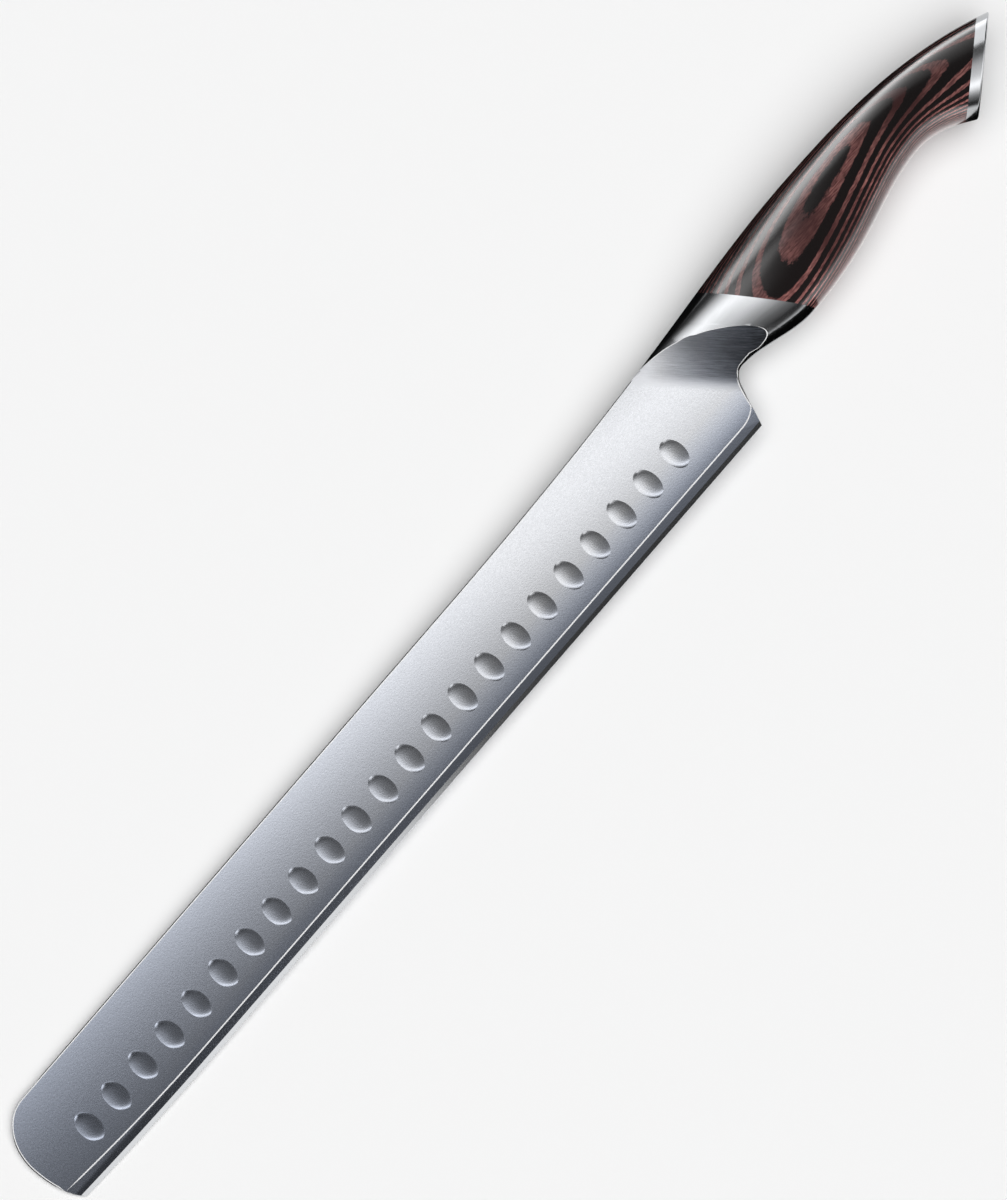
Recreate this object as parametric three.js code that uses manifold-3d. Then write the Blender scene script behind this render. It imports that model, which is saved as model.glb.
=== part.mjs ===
// A salmon slicing knife: a long flat-ground blade with oval hollows along both faces, a
// polished bolster with a slanted plunge grind, a two-piece laminated grip over a hidden tang,
// and a steel end cap on a slanted butt. It lies on its side, as it is put down on a table.
//
// Millimetres. In the knife's own frame x runs from the tip to the butt with 0 at the heel
// corner, y runs from the cutting edge to the spine, and z goes through the thickness.
import * as THREE from 'three';
import { mergeVertices } from 'three/addons/utils/BufferGeometryUtils.js';
import Module from 'manifold-3d';

// Fits
const CLEARANCE = 0.3; // between a piece and what it sits in
const GLUE_LINE = 0.3; // between the grip halves, and at the bolster and the end cap

// Blade, seen from its side
const BLADE_LENGTH = 305; // tip to heel corner
const TIP_HEIGHT = 34.3; // spine above the edge at the tip
const SPINE_HEIGHT = 34.9; // spine above the edge where it starts to sweep up
const SWEEP_LENGTH = 103; // that sweep, ahead of the heel
const HEEL_HEIGHT = 38.75; // spine above the heel corner
const HEEL_SLOPE = 0.078; // rise of the spine over the heel
const TIP_ROUND = 13.5; // length of the round corner between the spine and the tip
const TIP_NOSE_HEIGHT = 17.5; // foremost point of the tip above the edge
const TIP_LOWER_ROUND = 8.5; // length of the round corner below it
const TIP_RISE = 1.4; // rise of the edge at the tip
const TIP_RISE_LENGTH = 62; // over this length
const HEEL_LEAN = 0.42; // run of the heel's back edge for each millimetre of height
const HEEL_RISE = 4.5; // height of its straight part
const CHOIL_SETBACK = 9.6; // top of the finger notch behind the heel corner
const CHOIL_HEIGHT = 15.9; // top of the finger notch above the edge
const CHOIL_ROUND = 4.5; // how far its round top reaches ahead
const CHOIL_PULL = 2; // how far the heel's straight part pulls on the notch, in its own lengths

// Blade, in section
const SPINE_THICKNESS = 2.2;
const SHOULDER_THICKNESS = 1.1; // where the flat grind meets the bevel
const BEVEL_HEIGHT = 3.8;
const BEVEL_FLARE = 1.6; // added height of the bevel at the tip
const CUT_HEIGHT = 1.3; // the cutting bevel at the very edge
const CUT_THICKNESS = 0.56;
const EDGE_THICKNESS = 0.14;

// Oval hollows in both faces
const HOLLOW_PITCH = 11.88;
const HOLLOW_WIDTH = 6.8; // along the blade
const HOLLOW_LENGTH = 10.3; // across the blade
const HOLLOW_DEPTH = 0.4;
const HOLLOW_ROUNDNESS = 4; // height of the cutting ellipsoid for each millimetre of depth
const HOLLOW_HEIGHT = 13.9; // centres above the edge
const HOLLOW_SETBACK = 23.2; // last centre ahead of the heel
const HOLLOW_TIP_MARGIN = 20; // bare blade at the tip

// Handle, seen from its side
const HANDLE_LENGTH = 137.2; // heel corner to butt
const ARCH_SETBACK = 58; // crest of the back behind the heel
const ARCH_HEIGHT = 42.25;
const BUTT_HEIGHT = 29.6; // end of the back above the edge
const BUTT_SLOPE = 0.44; // fall of the back there
const CHOIL_SLOPE = 0.05; // fall of the belly at the finger notch
const BELLY_SETBACK = 35.5; // lowest point of the belly behind the heel
const BELLY_HEIGHT = 10.55;
const PALM_HEIGHT = 13.55; // belly midway to the waist
const PALM_SLOPE = 0.225;
const WAIST_FROM_BUTT = 44.7;
const WAIST_HEIGHT = 18.65; // belly at the waist
const HOOK_FROM_BUTT = 29.2;
const HOOK_HEIGHT = 13.25; // belly where the end cap starts
const HOOK_SLOPE = 0.7;

// Handle, in section
const NECK_WIDTH = 4.9; // under the plunge grind
const SEAM_WIDTH = 16.5; // at the seam of bolster and wood
const SEAM_FLARE = 0.246; // growth of the width there
const SWELL_WIDTH = 21; // widest point of the grip
const SWELL_SETBACK = 72;
const BUTT_WIDTH = 18;
const SECTION_POWER = 2.45; // 2 is an ellipse, more is squarer

// Bolster
const SEAM_BACK = 16.9; // seam of bolster and wood on the back, behind the heel
const SEAM_BELLY = 36.4; // and on the belly
const RAMP_AHEAD = 14.6; // start of the plunge grind on the spine, ahead of the heel
const RAMP_ANGLE = 51.7; // slant of the grind to the blade, in degrees
const RAMP_RADIUS = 26.5;
const BOLSTER_LIP = 0.25; // thickness of the cheeks' front edge
const BLADE_SEAT = 0; // end of the full-height blade on the spine, behind the heel

// Tang and what holds it
const TANG_ROOT_HEIGHT = 27; // middle of the tang above the edge at the heel
const TANG_ROOT_WIDTH = 13;
const TANG_WAIST_HEIGHT = 29.5;
const TANG_TAIL_WIDTH = 7;
const TANG_TAIL_SLOPE = 0.6;
const TAIL_FROM_BUTT = 16; // middle of the tail along the end cap
const TAIL_DEPTH = 1.8; // reach of the tail into the end cap
const BED_THICKNESS = 0.8;
const PIN_DIAMETER = 4;
const PIN_LENGTH = 13;
const FRONT_PIN_SETBACK = 48;
const REAR_PIN_FROM_BUTT = 49;

// End cap
const CAP_ANGLE = 35; // slant of the butt to the blade, in degrees
const CAP_THICKNESS = 3.6;

// Facets
const BODY_STEP = 3.5; // between sections of the handle
const BODY_SIDES = 40;
const TANG_STEPS = 14;
const SWEEP_STEPS = 12;
const TIP_STEPS = 6;
const ARC_STEPS = 12;
const RAMP_STEPS = 24;
const HOLLOW_SIDES = 16;
const HOLLOW_RINGS = 8;
const PIN_SIDES = 20;

const OVERSIZE = 60; // how far a cutting shape reaches past what it cuts
const SPARE = 2; // how far a lofted blank reaches past its outline
const BLANK_SHARE = 2; // thickness of the blade's blank before grinding, for each millimetre of spine
const HALVING_SIZE = 4 * BLADE_LENGTH; // of the box that splits the grip in two
const LEVEL_PASSES = 4; // rounds that settle how the knife lies

const STEEL_SATIN = { color: 0xaab2bc, roughness: 0.35, metalness: 1 };
const STEEL_POLISHED = { color: 0xc4c8cc, roughness: 0.08, metalness: 1 };
const STEEL_PLAIN = { color: 0x9a9da0, roughness: 0.5, metalness: 1 };
const LAMINATED_WOOD = { color: 0x35191a, roughness: 0.3, metalness: 0 };
const CURED_ADHESIVE = { color: 0xb9a878, roughness: 0.6, metalness: 0 };

const wasm = await Module();
wasm.setup();

// Closed geometry to solid, and solid to named mesh

function solid(geometry) {
  geometry.deleteAttribute('normal');
  geometry.deleteAttribute('uv');
  const merged = mergeVertices(geometry);
  return new wasm.Manifold(new wasm.Mesh({
    numProp: 3,
    vertProperties: new Float32Array(merged.attributes.position.array),
    triVerts: new Uint32Array(merged.index.array),
  }));
}

function piece(name, shape, finish) {
  const { vertProperties, triVerts } = shape.getMesh();
  const geometry = new THREE.BufferGeometry();
  geometry.setAttribute('position', new THREE.Float32BufferAttribute(vertProperties, 3));
  geometry.setIndex(Array.from(triVerts));
  const faceted = geometry.toNonIndexed();
  faceted.computeVertexNormals();
  const mesh = new THREE.Mesh(faceted, new THREE.MeshStandardMaterial(finish));
  mesh.name = name;
  return mesh;
}

// A solid through rings of points, which follow each other along x
function loft(rings) {
  const sides = rings[0].length;
  const indices = [];
  for (let ring = 0; ring < rings.length - 1; ring += 1) {
    for (let side = 0; side < sides; side += 1) {
      const a = ring * sides + side;
      const b = ring * sides + ((side + 1) % sides);
      indices.push(a, b, a + sides, b, b + sides, a + sides);
    }
  }
  const last = (rings.length - 1) * sides;
  for (let side = 1; side < sides - 1; side += 1) {
    indices.push(0, side + 1, side);
    indices.push(last, last + side, last + side + 1);
  }
  const geometry = new THREE.BufferGeometry().setFromPoints(rings.flat());
  geometry.setIndex(indices);
  return solid(geometry);
}

// A plate of an outline in x and y, as thick on both sides of the middle plane
function plate(outline, thickness) {
  const geometry = new THREE.ExtrudeGeometry(outline, {
    depth: thickness,
    bevelEnabled: false,
    curveSegments: ARC_STEPS,
  });
  return solid(geometry.translate(0, 0, -thickness / 2));
}

// All that lies before a line: its normal has the given angle, and shift moves it along that
function before(point, angle, shift, thickness = OVERSIZE) {
  const reach = BLADE_LENGTH + HANDLE_LENGTH;
  const normal = new THREE.Vector2(Math.cos(angle), Math.sin(angle));
  const along = new THREE.Vector2(-normal.y, normal.x).multiplyScalar(reach);
  const edge = point.clone().addScaledVector(normal, shift);
  const far = edge.clone().addScaledVector(normal, -2 * reach);
  const outline = new THREE.Shape([
    edge.clone().add(along),
    far.clone().add(along),
    far.clone().sub(along),
    edge.clone().sub(along),
  ]);
  return plate(outline, thickness);
}

// A smooth curve through nodes of x, y and slope, which runs straight on past its ends
function curve(nodes) {
  return (x) => {
    const next = nodes.findIndex((node) => node[0] > x);
    if (next <= 0) {
      const [endX, endY, slope] = nodes.at(next);
      return endY + slope * (x - endX);
    }
    const [x0, y0, slope0] = nodes[next - 1];
    const [x1, y1, slope1] = nodes[next];
    const span = x1 - x0;
    const t = (x - x0) / span;
    const ease = t * t * (3 - 2 * t);
    const lead = t * (1 - t) * (1 - t) * span * slope0;
    const trail = t * t * (t - 1) * span * slope1;
    return y0 + (y1 - y0) * ease + lead + trail;
  };
}

// Outlines of the whole knife, as heights over the edge

const spineSlope = (SPINE_HEIGHT - TIP_HEIGHT) / (BLADE_LENGTH - SWEEP_LENGTH);
const back = curve([
  [-SWEEP_LENGTH, SPINE_HEIGHT, spineSlope],
  [0, HEEL_HEIGHT, HEEL_SLOPE],
  [ARCH_SETBACK, ARCH_HEIGHT, 0],
  [HANDLE_LENGTH, BUTT_HEIGHT, -BUTT_SLOPE],
]);

const waistX = HANDLE_LENGTH - WAIST_FROM_BUTT;
const hookX = HANDLE_LENGTH - HOOK_FROM_BUTT;
const belly = curve([
  [CHOIL_SETBACK, CHOIL_HEIGHT, -CHOIL_SLOPE],
  [BELLY_SETBACK, BELLY_HEIGHT, 0],
  [(BELLY_SETBACK + waistX) / 2, PALM_HEIGHT, PALM_SLOPE],
  [waistX, WAIST_HEIGHT, 0],
  [hookX, HOOK_HEIGHT, -HOOK_SLOPE],
]);

const seamMiddle = (SEAM_BACK + SEAM_BELLY) / 2;
const width = curve([
  [-RAMP_AHEAD, NECK_WIDTH, 0],
  [seamMiddle, SEAM_WIDTH, SEAM_FLARE],
  [SWELL_SETBACK, SWELL_WIDTH, 0],
  [HANDLE_LENGTH, BUTT_WIDTH, 0],
]);

// Lines that part the handle: the seam of bolster and wood, and the slanted butt

const seamPoint = new THREE.Vector2(SEAM_BACK, back(SEAM_BACK));
const seamFoot = new THREE.Vector2(SEAM_BELLY, belly(SEAM_BELLY));
const seamAngle = seamFoot.sub(seamPoint).angle() + Math.PI / 2;
const buttPoint = new THREE.Vector2(HANDLE_LENGTH, BUTT_HEIGHT);
const capSlant = THREE.MathUtils.degToRad(CAP_ANGLE);
const buttAngle = capSlant - Math.PI / 2;

function beforeSeam(shift) {
  return before(seamPoint, seamAngle, shift);
}

function beforeButt(depth) {
  return before(buttPoint, buttAngle, -depth);
}

// Blade

const faceSlope = (SPINE_THICKNESS - SHOULDER_THICKNESS) / 2 / (HEEL_HEIGHT - BEVEL_HEIGHT);
const faceTilt = Math.atan(faceSlope);

function faceHeight(y) {
  return SHOULDER_THICKNESS / 2 + (y - BEVEL_HEIGHT) * faceSlope;
}

// Share of the tip's rise at x: none along the straight edge, all of it at the tip
function tipShare(x) {
  const run = Math.max(0, -BLADE_LENGTH + TIP_RISE_LENGTH - x) / TIP_RISE_LENGTH;
  return run * run;
}

// The ground section at x, from the edge up one face, over the top and down the other
function groundSection(x) {
  const edge = TIP_RISE * tipShare(x);
  const shoulder = edge + BEVEL_HEIGHT + BEVEL_FLARE * tipShare(x);
  const top = Math.max(HEEL_HEIGHT, ARCH_HEIGHT) + SPARE;
  const face = [
    [edge, EDGE_THICKNESS / 2],
    [edge + CUT_HEIGHT, CUT_THICKNESS / 2],
    [shoulder, faceHeight(shoulder)],
    [top, faceHeight(top)],
  ];
  const lower = face.map(([y, z]) => new THREE.Vector3(x, y, -z));
  const upper = face.map(([y, z]) => new THREE.Vector3(x, y, z)).reverse();
  return [...lower, ...upper];
}

function groundBlank() {
  const rings = [];
  for (let step = 0; step <= TIP_STEPS; step += 1) {
    rings.push(groundSection(-BLADE_LENGTH - SPARE + (TIP_RISE_LENGTH + SPARE) * (step / TIP_STEPS)));
  }
  rings.push(groundSection(HANDLE_LENGTH));
  return loft(rings);
}

// The blade from its side, from the heel round the tip to its seat in the bolster
function bladeOutline() {
  const outline = new THREE.Shape();
  outline.moveTo(BLADE_SEAT, back(BLADE_SEAT));
  for (let step = 1; step <= SWEEP_STEPS; step += 1) {
    const x = BLADE_SEAT - (SWEEP_LENGTH + BLADE_SEAT) * (step / SWEEP_STEPS);
    outline.lineTo(x, back(x));
  }
  const tipX = -BLADE_LENGTH;
  const cornerX = tipX + TIP_ROUND;
  outline.lineTo(cornerX, back(cornerX));
  const noseRise = back(cornerX) - TIP_NOSE_HEIGHT;
  outline.absellipse(cornerX, TIP_NOSE_HEIGHT, TIP_ROUND, noseRise, Math.PI / 2, Math.PI, false, 0);
  outline.quadraticCurveTo(tipX, TIP_RISE + CUT_HEIGHT, tipX + TIP_LOWER_ROUND, -SPARE);
  outline.lineTo(-HEEL_LEAN * SPARE, -SPARE);
  const heelX = HEEL_LEAN * HEEL_RISE;
  outline.lineTo(heelX, HEEL_RISE);
  outline.bezierCurveTo(
    heelX * CHOIL_PULL,
    HEEL_RISE * CHOIL_PULL,
    CHOIL_SETBACK - CHOIL_ROUND,
    CHOIL_HEIGHT,
    CHOIL_SETBACK,
    CHOIL_HEIGHT,
  );
  return outline;
}

// An oval hollow, centred at x on the upper face (side 1) or the lower one (side -1)
function hollow(x, side) {
  const reach = HOLLOW_DEPTH * HOLLOW_ROUNDNESS;
  const share = Math.sqrt(1 - ((reach - HOLLOW_DEPTH) / reach) ** 2);
  const ellipsoid = new THREE.SphereGeometry(1, HOLLOW_SIDES, HOLLOW_RINGS);
  ellipsoid.rotateX(Math.PI / 2);
  ellipsoid.scale(HOLLOW_WIDTH / 2 / share, HOLLOW_LENGTH / 2 / share, reach);
  ellipsoid.rotateX(side * faceTilt);
  ellipsoid.translate(x, HOLLOW_HEIGHT, side * (faceHeight(HOLLOW_HEIGHT) + reach - HOLLOW_DEPTH));
  return solid(ellipsoid);
}

// The row on the lower face sits half a pitch behind the other
function hollowRow(side) {
  const row = BLADE_LENGTH - HOLLOW_SETBACK - HOLLOW_TIP_MARGIN;
  const stagger = side > 0 ? 0 : HOLLOW_PITCH / 2;
  const hollows = [];
  for (let ahead = stagger; ahead <= row; ahead += HOLLOW_PITCH) {
    hollows.push(hollow(-HOLLOW_SETBACK - ahead, side));
  }
  return hollows;
}

// Tang

const tailPoint = buttPoint.clone();
tailPoint.addScaledVector(new THREE.Vector2(Math.cos(capSlant), Math.sin(capSlant)), -TAIL_FROM_BUTT);
tailPoint.addScaledVector(new THREE.Vector2(Math.cos(buttAngle), Math.sin(buttAngle)), -CAP_THICKNESS);
const tangMiddle = curve([
  [0, TANG_ROOT_HEIGHT, 0],
  [waistX, TANG_WAIST_HEIGHT, 0],
  [tailPoint.x, tailPoint.y, -TANG_TAIL_SLOPE],
]);

// The tang, or the space for it with grow added all round, out to a depth in the end cap
function tang(grow) {
  const end = tailPoint.x + CAP_THICKNESS;
  const lower = [];
  const upper = [];
  for (let step = 0; step <= TANG_STEPS; step += 1) {
    const x = end * (step / TANG_STEPS);
    const half = THREE.MathUtils.lerp(TANG_ROOT_WIDTH, TANG_TAIL_WIDTH, x / end) / 2 + grow;
    lower.push(new THREE.Vector2(x, tangMiddle(x) - half));
    upper.push(new THREE.Vector2(x, tangMiddle(x) + half));
  }
  const outline = new THREE.Shape([...lower, ...upper.reverse()]);
  const bar = plate(outline, SPINE_THICKNESS + 2 * grow);
  return bar.intersect(beforeButt(CAP_THICKNESS - TAIL_DEPTH - grow));
}

function pin(x, diameter, length) {
  const rod = new THREE.CylinderGeometry(diameter / 2, diameter / 2, length, PIN_SIDES);
  rod.rotateX(Math.PI / 2);
  rod.translate(x, tangMiddle(x), 0);
  return solid(rod);
}

const pinPlaces = {
  tang_pin_front: FRONT_PIN_SETBACK,
  tang_pin_rear: HANDLE_LENGTH - REAR_PIN_FROM_BUTT,
};

function drillPins(shape) {
  return Object.values(pinPlaces).reduce((drilled, x) => {
    const bore = pin(x, PIN_DIAMETER + 2 * CLEARANCE, PIN_LENGTH + 2 * CLEARANCE);
    return drilled.subtract(bore);
  }, shape);
}

function makeBlade() {
  const blank = plate(bladeOutline(), SPINE_THICKNESS * BLANK_SHARE).add(tang(0));
  const ground = blank.intersect(groundBlank());
  const hollowed = [...hollowRow(1), ...hollowRow(-1)].reduce((cut, oval) => cut.subtract(oval), ground);
  return drillPins(hollowed);
}

// Handle: one rounded body that the bolster, the grip and the end cap share

function handleSection(x) {
  const middle = (back(x) + belly(x)) / 2;
  const rise = (back(x) - belly(x)) / 2;
  const round = (value) => Math.sign(value) * Math.abs(value) ** (2 / SECTION_POWER);
  const ring = [];
  for (let side = 0; side < BODY_SIDES; side += 1) {
    const angle = (2 * Math.PI * side) / BODY_SIDES;
    const y = middle + rise * round(Math.cos(angle));
    const z = (width(x) / 2) * round(Math.sin(angle));
    ring.push(new THREE.Vector3(x, y, z));
  }
  return ring;
}

function makeBody() {
  const start = -RAMP_AHEAD - SPARE;
  const end = HANDLE_LENGTH + SPARE;
  const steps = Math.ceil((end - start) / BODY_STEP);
  const rings = [];
  for (let step = 0; step <= steps; step += 1) {
    rings.push(handleSection(start + (end - start) * (step / steps)));
  }
  return loft(rings);
}

const body = makeBody();

// Bolster

const rampPoint = new THREE.Vector2(-RAMP_AHEAD, back(-RAMP_AHEAD));
const rampSlant = THREE.MathUtils.degToRad(RAMP_ANGLE);
const rampNormal = Math.PI / 2 - rampSlant;

// What the plunge grind takes off one cheek: all over the blade's face, then a round run-out
function plungeGrind(side) {
  const base = (side * SPINE_THICKNESS) / 2;
  const top = base + side * RAMP_RADIUS;
  const profile = new THREE.Shape();
  profile.moveTo(-OVERSIZE, base);
  profile.lineTo(0, base);
  profile.absarc(0, top, RAMP_RADIUS, (-side * Math.PI) / 2, 0, side < 0);
  profile.lineTo(-OVERSIZE, top);
  const cutter = new THREE.ExtrudeGeometry(profile, {
    depth: 2 * OVERSIZE,
    bevelEnabled: false,
    curveSegments: RAMP_STEPS,
  });
  cutter.translate(0, 0, -OVERSIZE);
  const across = new THREE.Vector3(Math.cos(rampNormal), Math.sin(rampNormal), 0);
  const up = new THREE.Vector3(0, 0, 1);
  const along = new THREE.Vector3().crossVectors(across, up);
  const place = new THREE.Matrix4().makeBasis(across, up, along);
  place.setPosition(rampPoint.x, rampPoint.y, 0);
  return solid(cutter.applyMatrix4(place));
}

function makeBolster() {
  const lipRise = CLEARANCE + BOLSTER_LIP;
  const lipReach = Math.sqrt(2 * RAMP_RADIUS * lipRise - lipRise * lipRise);
  const seatPoint = new THREE.Vector2(BLADE_SEAT, back(BLADE_SEAT));
  const seatFoot = new THREE.Vector2(CHOIL_SETBACK, CHOIL_HEIGHT);
  const seatAngle = seatFoot.sub(seatPoint).angle() + Math.PI / 2;
  const slot = before(seatPoint, seatAngle, CLEARANCE, SPINE_THICKNESS + 2 * CLEARANCE);
  return body
    .intersect(beforeSeam(-GLUE_LINE / 2))
    .subtract(before(rampPoint, rampNormal, lipReach))
    .subtract(plungeGrind(1))
    .subtract(plungeGrind(-1))
    .subtract(slot)
    .subtract(tang(CLEARANCE));
}

// Grip, adhesive and end cap

const pocketGrow = CLEARANCE + BED_THICKNESS + CLEARANCE;

function makeGrip(side) {
  const wood = body
    .subtract(beforeSeam(GLUE_LINE / 2))
    .intersect(beforeButt(CAP_THICKNESS + GLUE_LINE / 2))
    .subtract(tang(pocketGrow));
  const other = new THREE.BoxGeometry(HALVING_SIZE, HALVING_SIZE, OVERSIZE);
  other.translate(0, 0, -side * (OVERSIZE / 2 - GLUE_LINE / 2));
  return drillPins(wood.subtract(solid(other)));
}

function makeBed() {
  const sleeve = tang(CLEARANCE + BED_THICKNESS)
    .subtract(tang(CLEARANCE))
    .subtract(beforeSeam(GLUE_LINE / 2))
    .intersect(beforeButt(CAP_THICKNESS + GLUE_LINE / 2));
  return drillPins(sleeve);
}

function makeEndCap() {
  return body
    .intersect(beforeButt(0))
    .subtract(beforeButt(CAP_THICKNESS - GLUE_LINE / 2))
    .subtract(tang(CLEARANCE));
}

// Assembly, in the knife's own frame

const knife = new THREE.Group();
const bladeMesh = piece('blade', makeBlade(), STEEL_SATIN);
knife.add(bladeMesh);
knife.add(piece('bolster', makeBolster(), STEEL_POLISHED));
knife.add(piece('grip_left', makeGrip(1), LAMINATED_WOOD));
knife.add(piece('grip_right', makeGrip(-1), LAMINATED_WOOD));
knife.add(piece('adhesive_bed', makeBed(), CURED_ADHESIVE));
Object.entries(pinPlaces).forEach(([name, x]) => {
  knife.add(piece(name, pin(x, PIN_DIAMETER, PIN_LENGTH), STEEL_PLAIN));
});
knife.add(piece('end_cap', makeEndCap(), STEEL_POLISHED));

// Put down on a table: the lower face lies level across the blade, and the knife tips until
// both the blade's tip and the grip's swell touch the table

function lowest(mesh, slope) {
  const places = mesh.geometry.attributes.position;
  const tilt = new THREE.Euler(faceTilt, 0, 0);
  const point = new THREE.Vector3();
  let found = new THREE.Vector3(0, 0, Infinity);
  for (let index = 0; index < places.count; index += 1) {
    point.fromBufferAttribute(places, index).applyEuler(tilt);
    if (point.z - slope * point.x < found.z - slope * found.x) {
      found = point.clone();
    }
  }
  return found;
}

function tableSlope() {
  const grip = knife.getObjectByName('grip_right');
  let slope = 0;
  for (let pass = 0; pass < LEVEL_PASSES; pass += 1) {
    const tip = lowest(bladeMesh, slope);
    const swell = lowest(grip, slope);
    slope = (swell.z - tip.z) / (swell.x - tip.x);
  }
  return slope;
}

const roll = new THREE.Quaternion().setFromAxisAngle(new THREE.Vector3(1, 0, 0), faceTilt);
const pitch = new THREE.Quaternion().setFromAxisAngle(new THREE.Vector3(0, 1, 0), Math.atan(tableSlope()));
knife.quaternion.multiplyQuaternions(pitch, roll);
knife.updateMatrixWorld(true);

// The origin is on the table, under the middle of the knife's box
const extent = new THREE.Box3().setFromObject(knife, true);
const centre = extent.getCenter(new THREE.Vector3());
knife.position.set(-centre.x, -centre.y, -extent.min.z);

const part = new THREE.Group();
part.add(knife);
part.updateMatrixWorld(true);

export default part;
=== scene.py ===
"""The looks of a salmon slicing knife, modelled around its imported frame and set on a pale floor.

Metres. In the knife's own frame x runs from the tip to the butt with 0 at the heel corner, y runs
from the cutting edge to the spine, and z goes through the thickness. Every piece is modelled there
and then laid down on the floor, as the frame lies.
"""

import math

import bmesh
import bpy
import numpy as np
from bpy.props import FloatProperty, FloatVectorProperty, IntProperty, PointerProperty
from mathutils import Euler, Matrix, Vector


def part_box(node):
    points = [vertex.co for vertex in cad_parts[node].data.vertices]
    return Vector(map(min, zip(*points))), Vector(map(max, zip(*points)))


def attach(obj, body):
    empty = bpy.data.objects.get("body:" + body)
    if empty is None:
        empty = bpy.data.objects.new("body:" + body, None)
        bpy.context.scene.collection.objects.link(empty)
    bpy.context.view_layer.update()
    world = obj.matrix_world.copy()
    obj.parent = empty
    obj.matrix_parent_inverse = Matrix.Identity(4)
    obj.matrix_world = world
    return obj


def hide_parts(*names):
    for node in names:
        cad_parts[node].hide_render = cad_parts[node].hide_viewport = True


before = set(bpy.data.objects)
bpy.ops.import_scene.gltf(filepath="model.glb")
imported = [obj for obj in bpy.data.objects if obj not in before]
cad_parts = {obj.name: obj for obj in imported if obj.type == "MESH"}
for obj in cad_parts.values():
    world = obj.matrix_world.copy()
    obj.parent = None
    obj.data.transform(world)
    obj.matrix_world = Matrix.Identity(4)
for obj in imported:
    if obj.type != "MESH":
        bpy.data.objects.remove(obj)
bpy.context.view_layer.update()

bl_info = {
    "name": "Salmon Slicing Knife",
    "version": (1, 0, 0),
    "blender": (4, 5, 0),
    "location": "View3D > Sidebar > Knife",
    "description": "Models and finishes a salmon slicing knife around its packed frame",
    "category": "Add Mesh",
}

MM = 0.001
WELD = 1e-6
SOLVE_STEPS = 28
PLANE_STEPS = 8
NUDGE = 0.01 * MM

# Materials of the blade's faces and of the bolster's, by their order on the piece
SATIN, HONED, POLISHED, PAINTED_HIGHLIGHT, HOLLOW = range(5)
# The bolster's LIP faces carry the painted highlight line
CHEEK, GROUND, LIP = range(3)

# Steps along the outlines, and across and round the meshes
CHOIL_STEPS = 80
TANG_STEPS = 24
NOTCH_STEPS = 48
SPINE_STEPS = 60
TIP_STEPS = 32
CORNER_STEPS = 16
BEVEL_TIP_STEPS = 8
BEVEL_STEPS = 104
BEVEL_HEEL_STEPS = 10
HOLLOW_SEGMENTS = 64
BORE_SEGMENTS = 24
HANDLE_SEGMENTS = 120
CAP_ROWS = 6
CAP_BREAK_SEGMENTS = 4

# The plunge grind: its slope ahead of its start, and its wider radius and crease near the spine
GRIND_LEAD = 0.04
GRIND_WIDENING = 0.78
GRIND_WIDENING_REACH = 18 * MM
CREASE_REACH = 16 * MM

# The blade's outline and its lines of painted highlight, whose places are shares of a line's width
TIP_CORNER_END = -2 * MM
HEEL_BREAK = 0.45
TAPER_POINTS = 4
LINE_CREST = 0.8
BREAK_CREST = 0.3
BEVEL_LINE = (0.6, -0.4, -0.65)
LINE_TAPER = 6 * MM
TIP_INSET = 2 * MM
HEEL_BEND = 0.65
HOLLOW_REACHES = (0.97, 0.93, 0.88, 0.81, 0.72, 0.6, 0.42, 0.2, 0.02)

# Angles past which a face is not flat and an edge is sharp
FLAT_WITHIN = math.radians(0.2)
BOLSTER_CREASE = math.radians(45)
GRIP_CREASE = math.radians(35)
CAP_CREASE = math.radians(30)


# Properties that a user would change


def length(label, about, millimetres):
    return FloatProperty(
        name=label, description=about, default=millimetres * MM, unit="LENGTH", subtype="DISTANCE"
    )


def turn(label, about, degrees):
    return FloatProperty(
        name=label, description=about, default=math.radians(degrees), unit="ROTATION", subtype="ANGLE"
    )


def share(label, about, value):
    return FloatProperty(name=label, description=about, default=value)


def colour(label, about, value):
    return FloatVectorProperty(
        name=label, description=about, default=value, subtype="COLOR", size=3, min=0.0, max=1.0
    )


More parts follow.
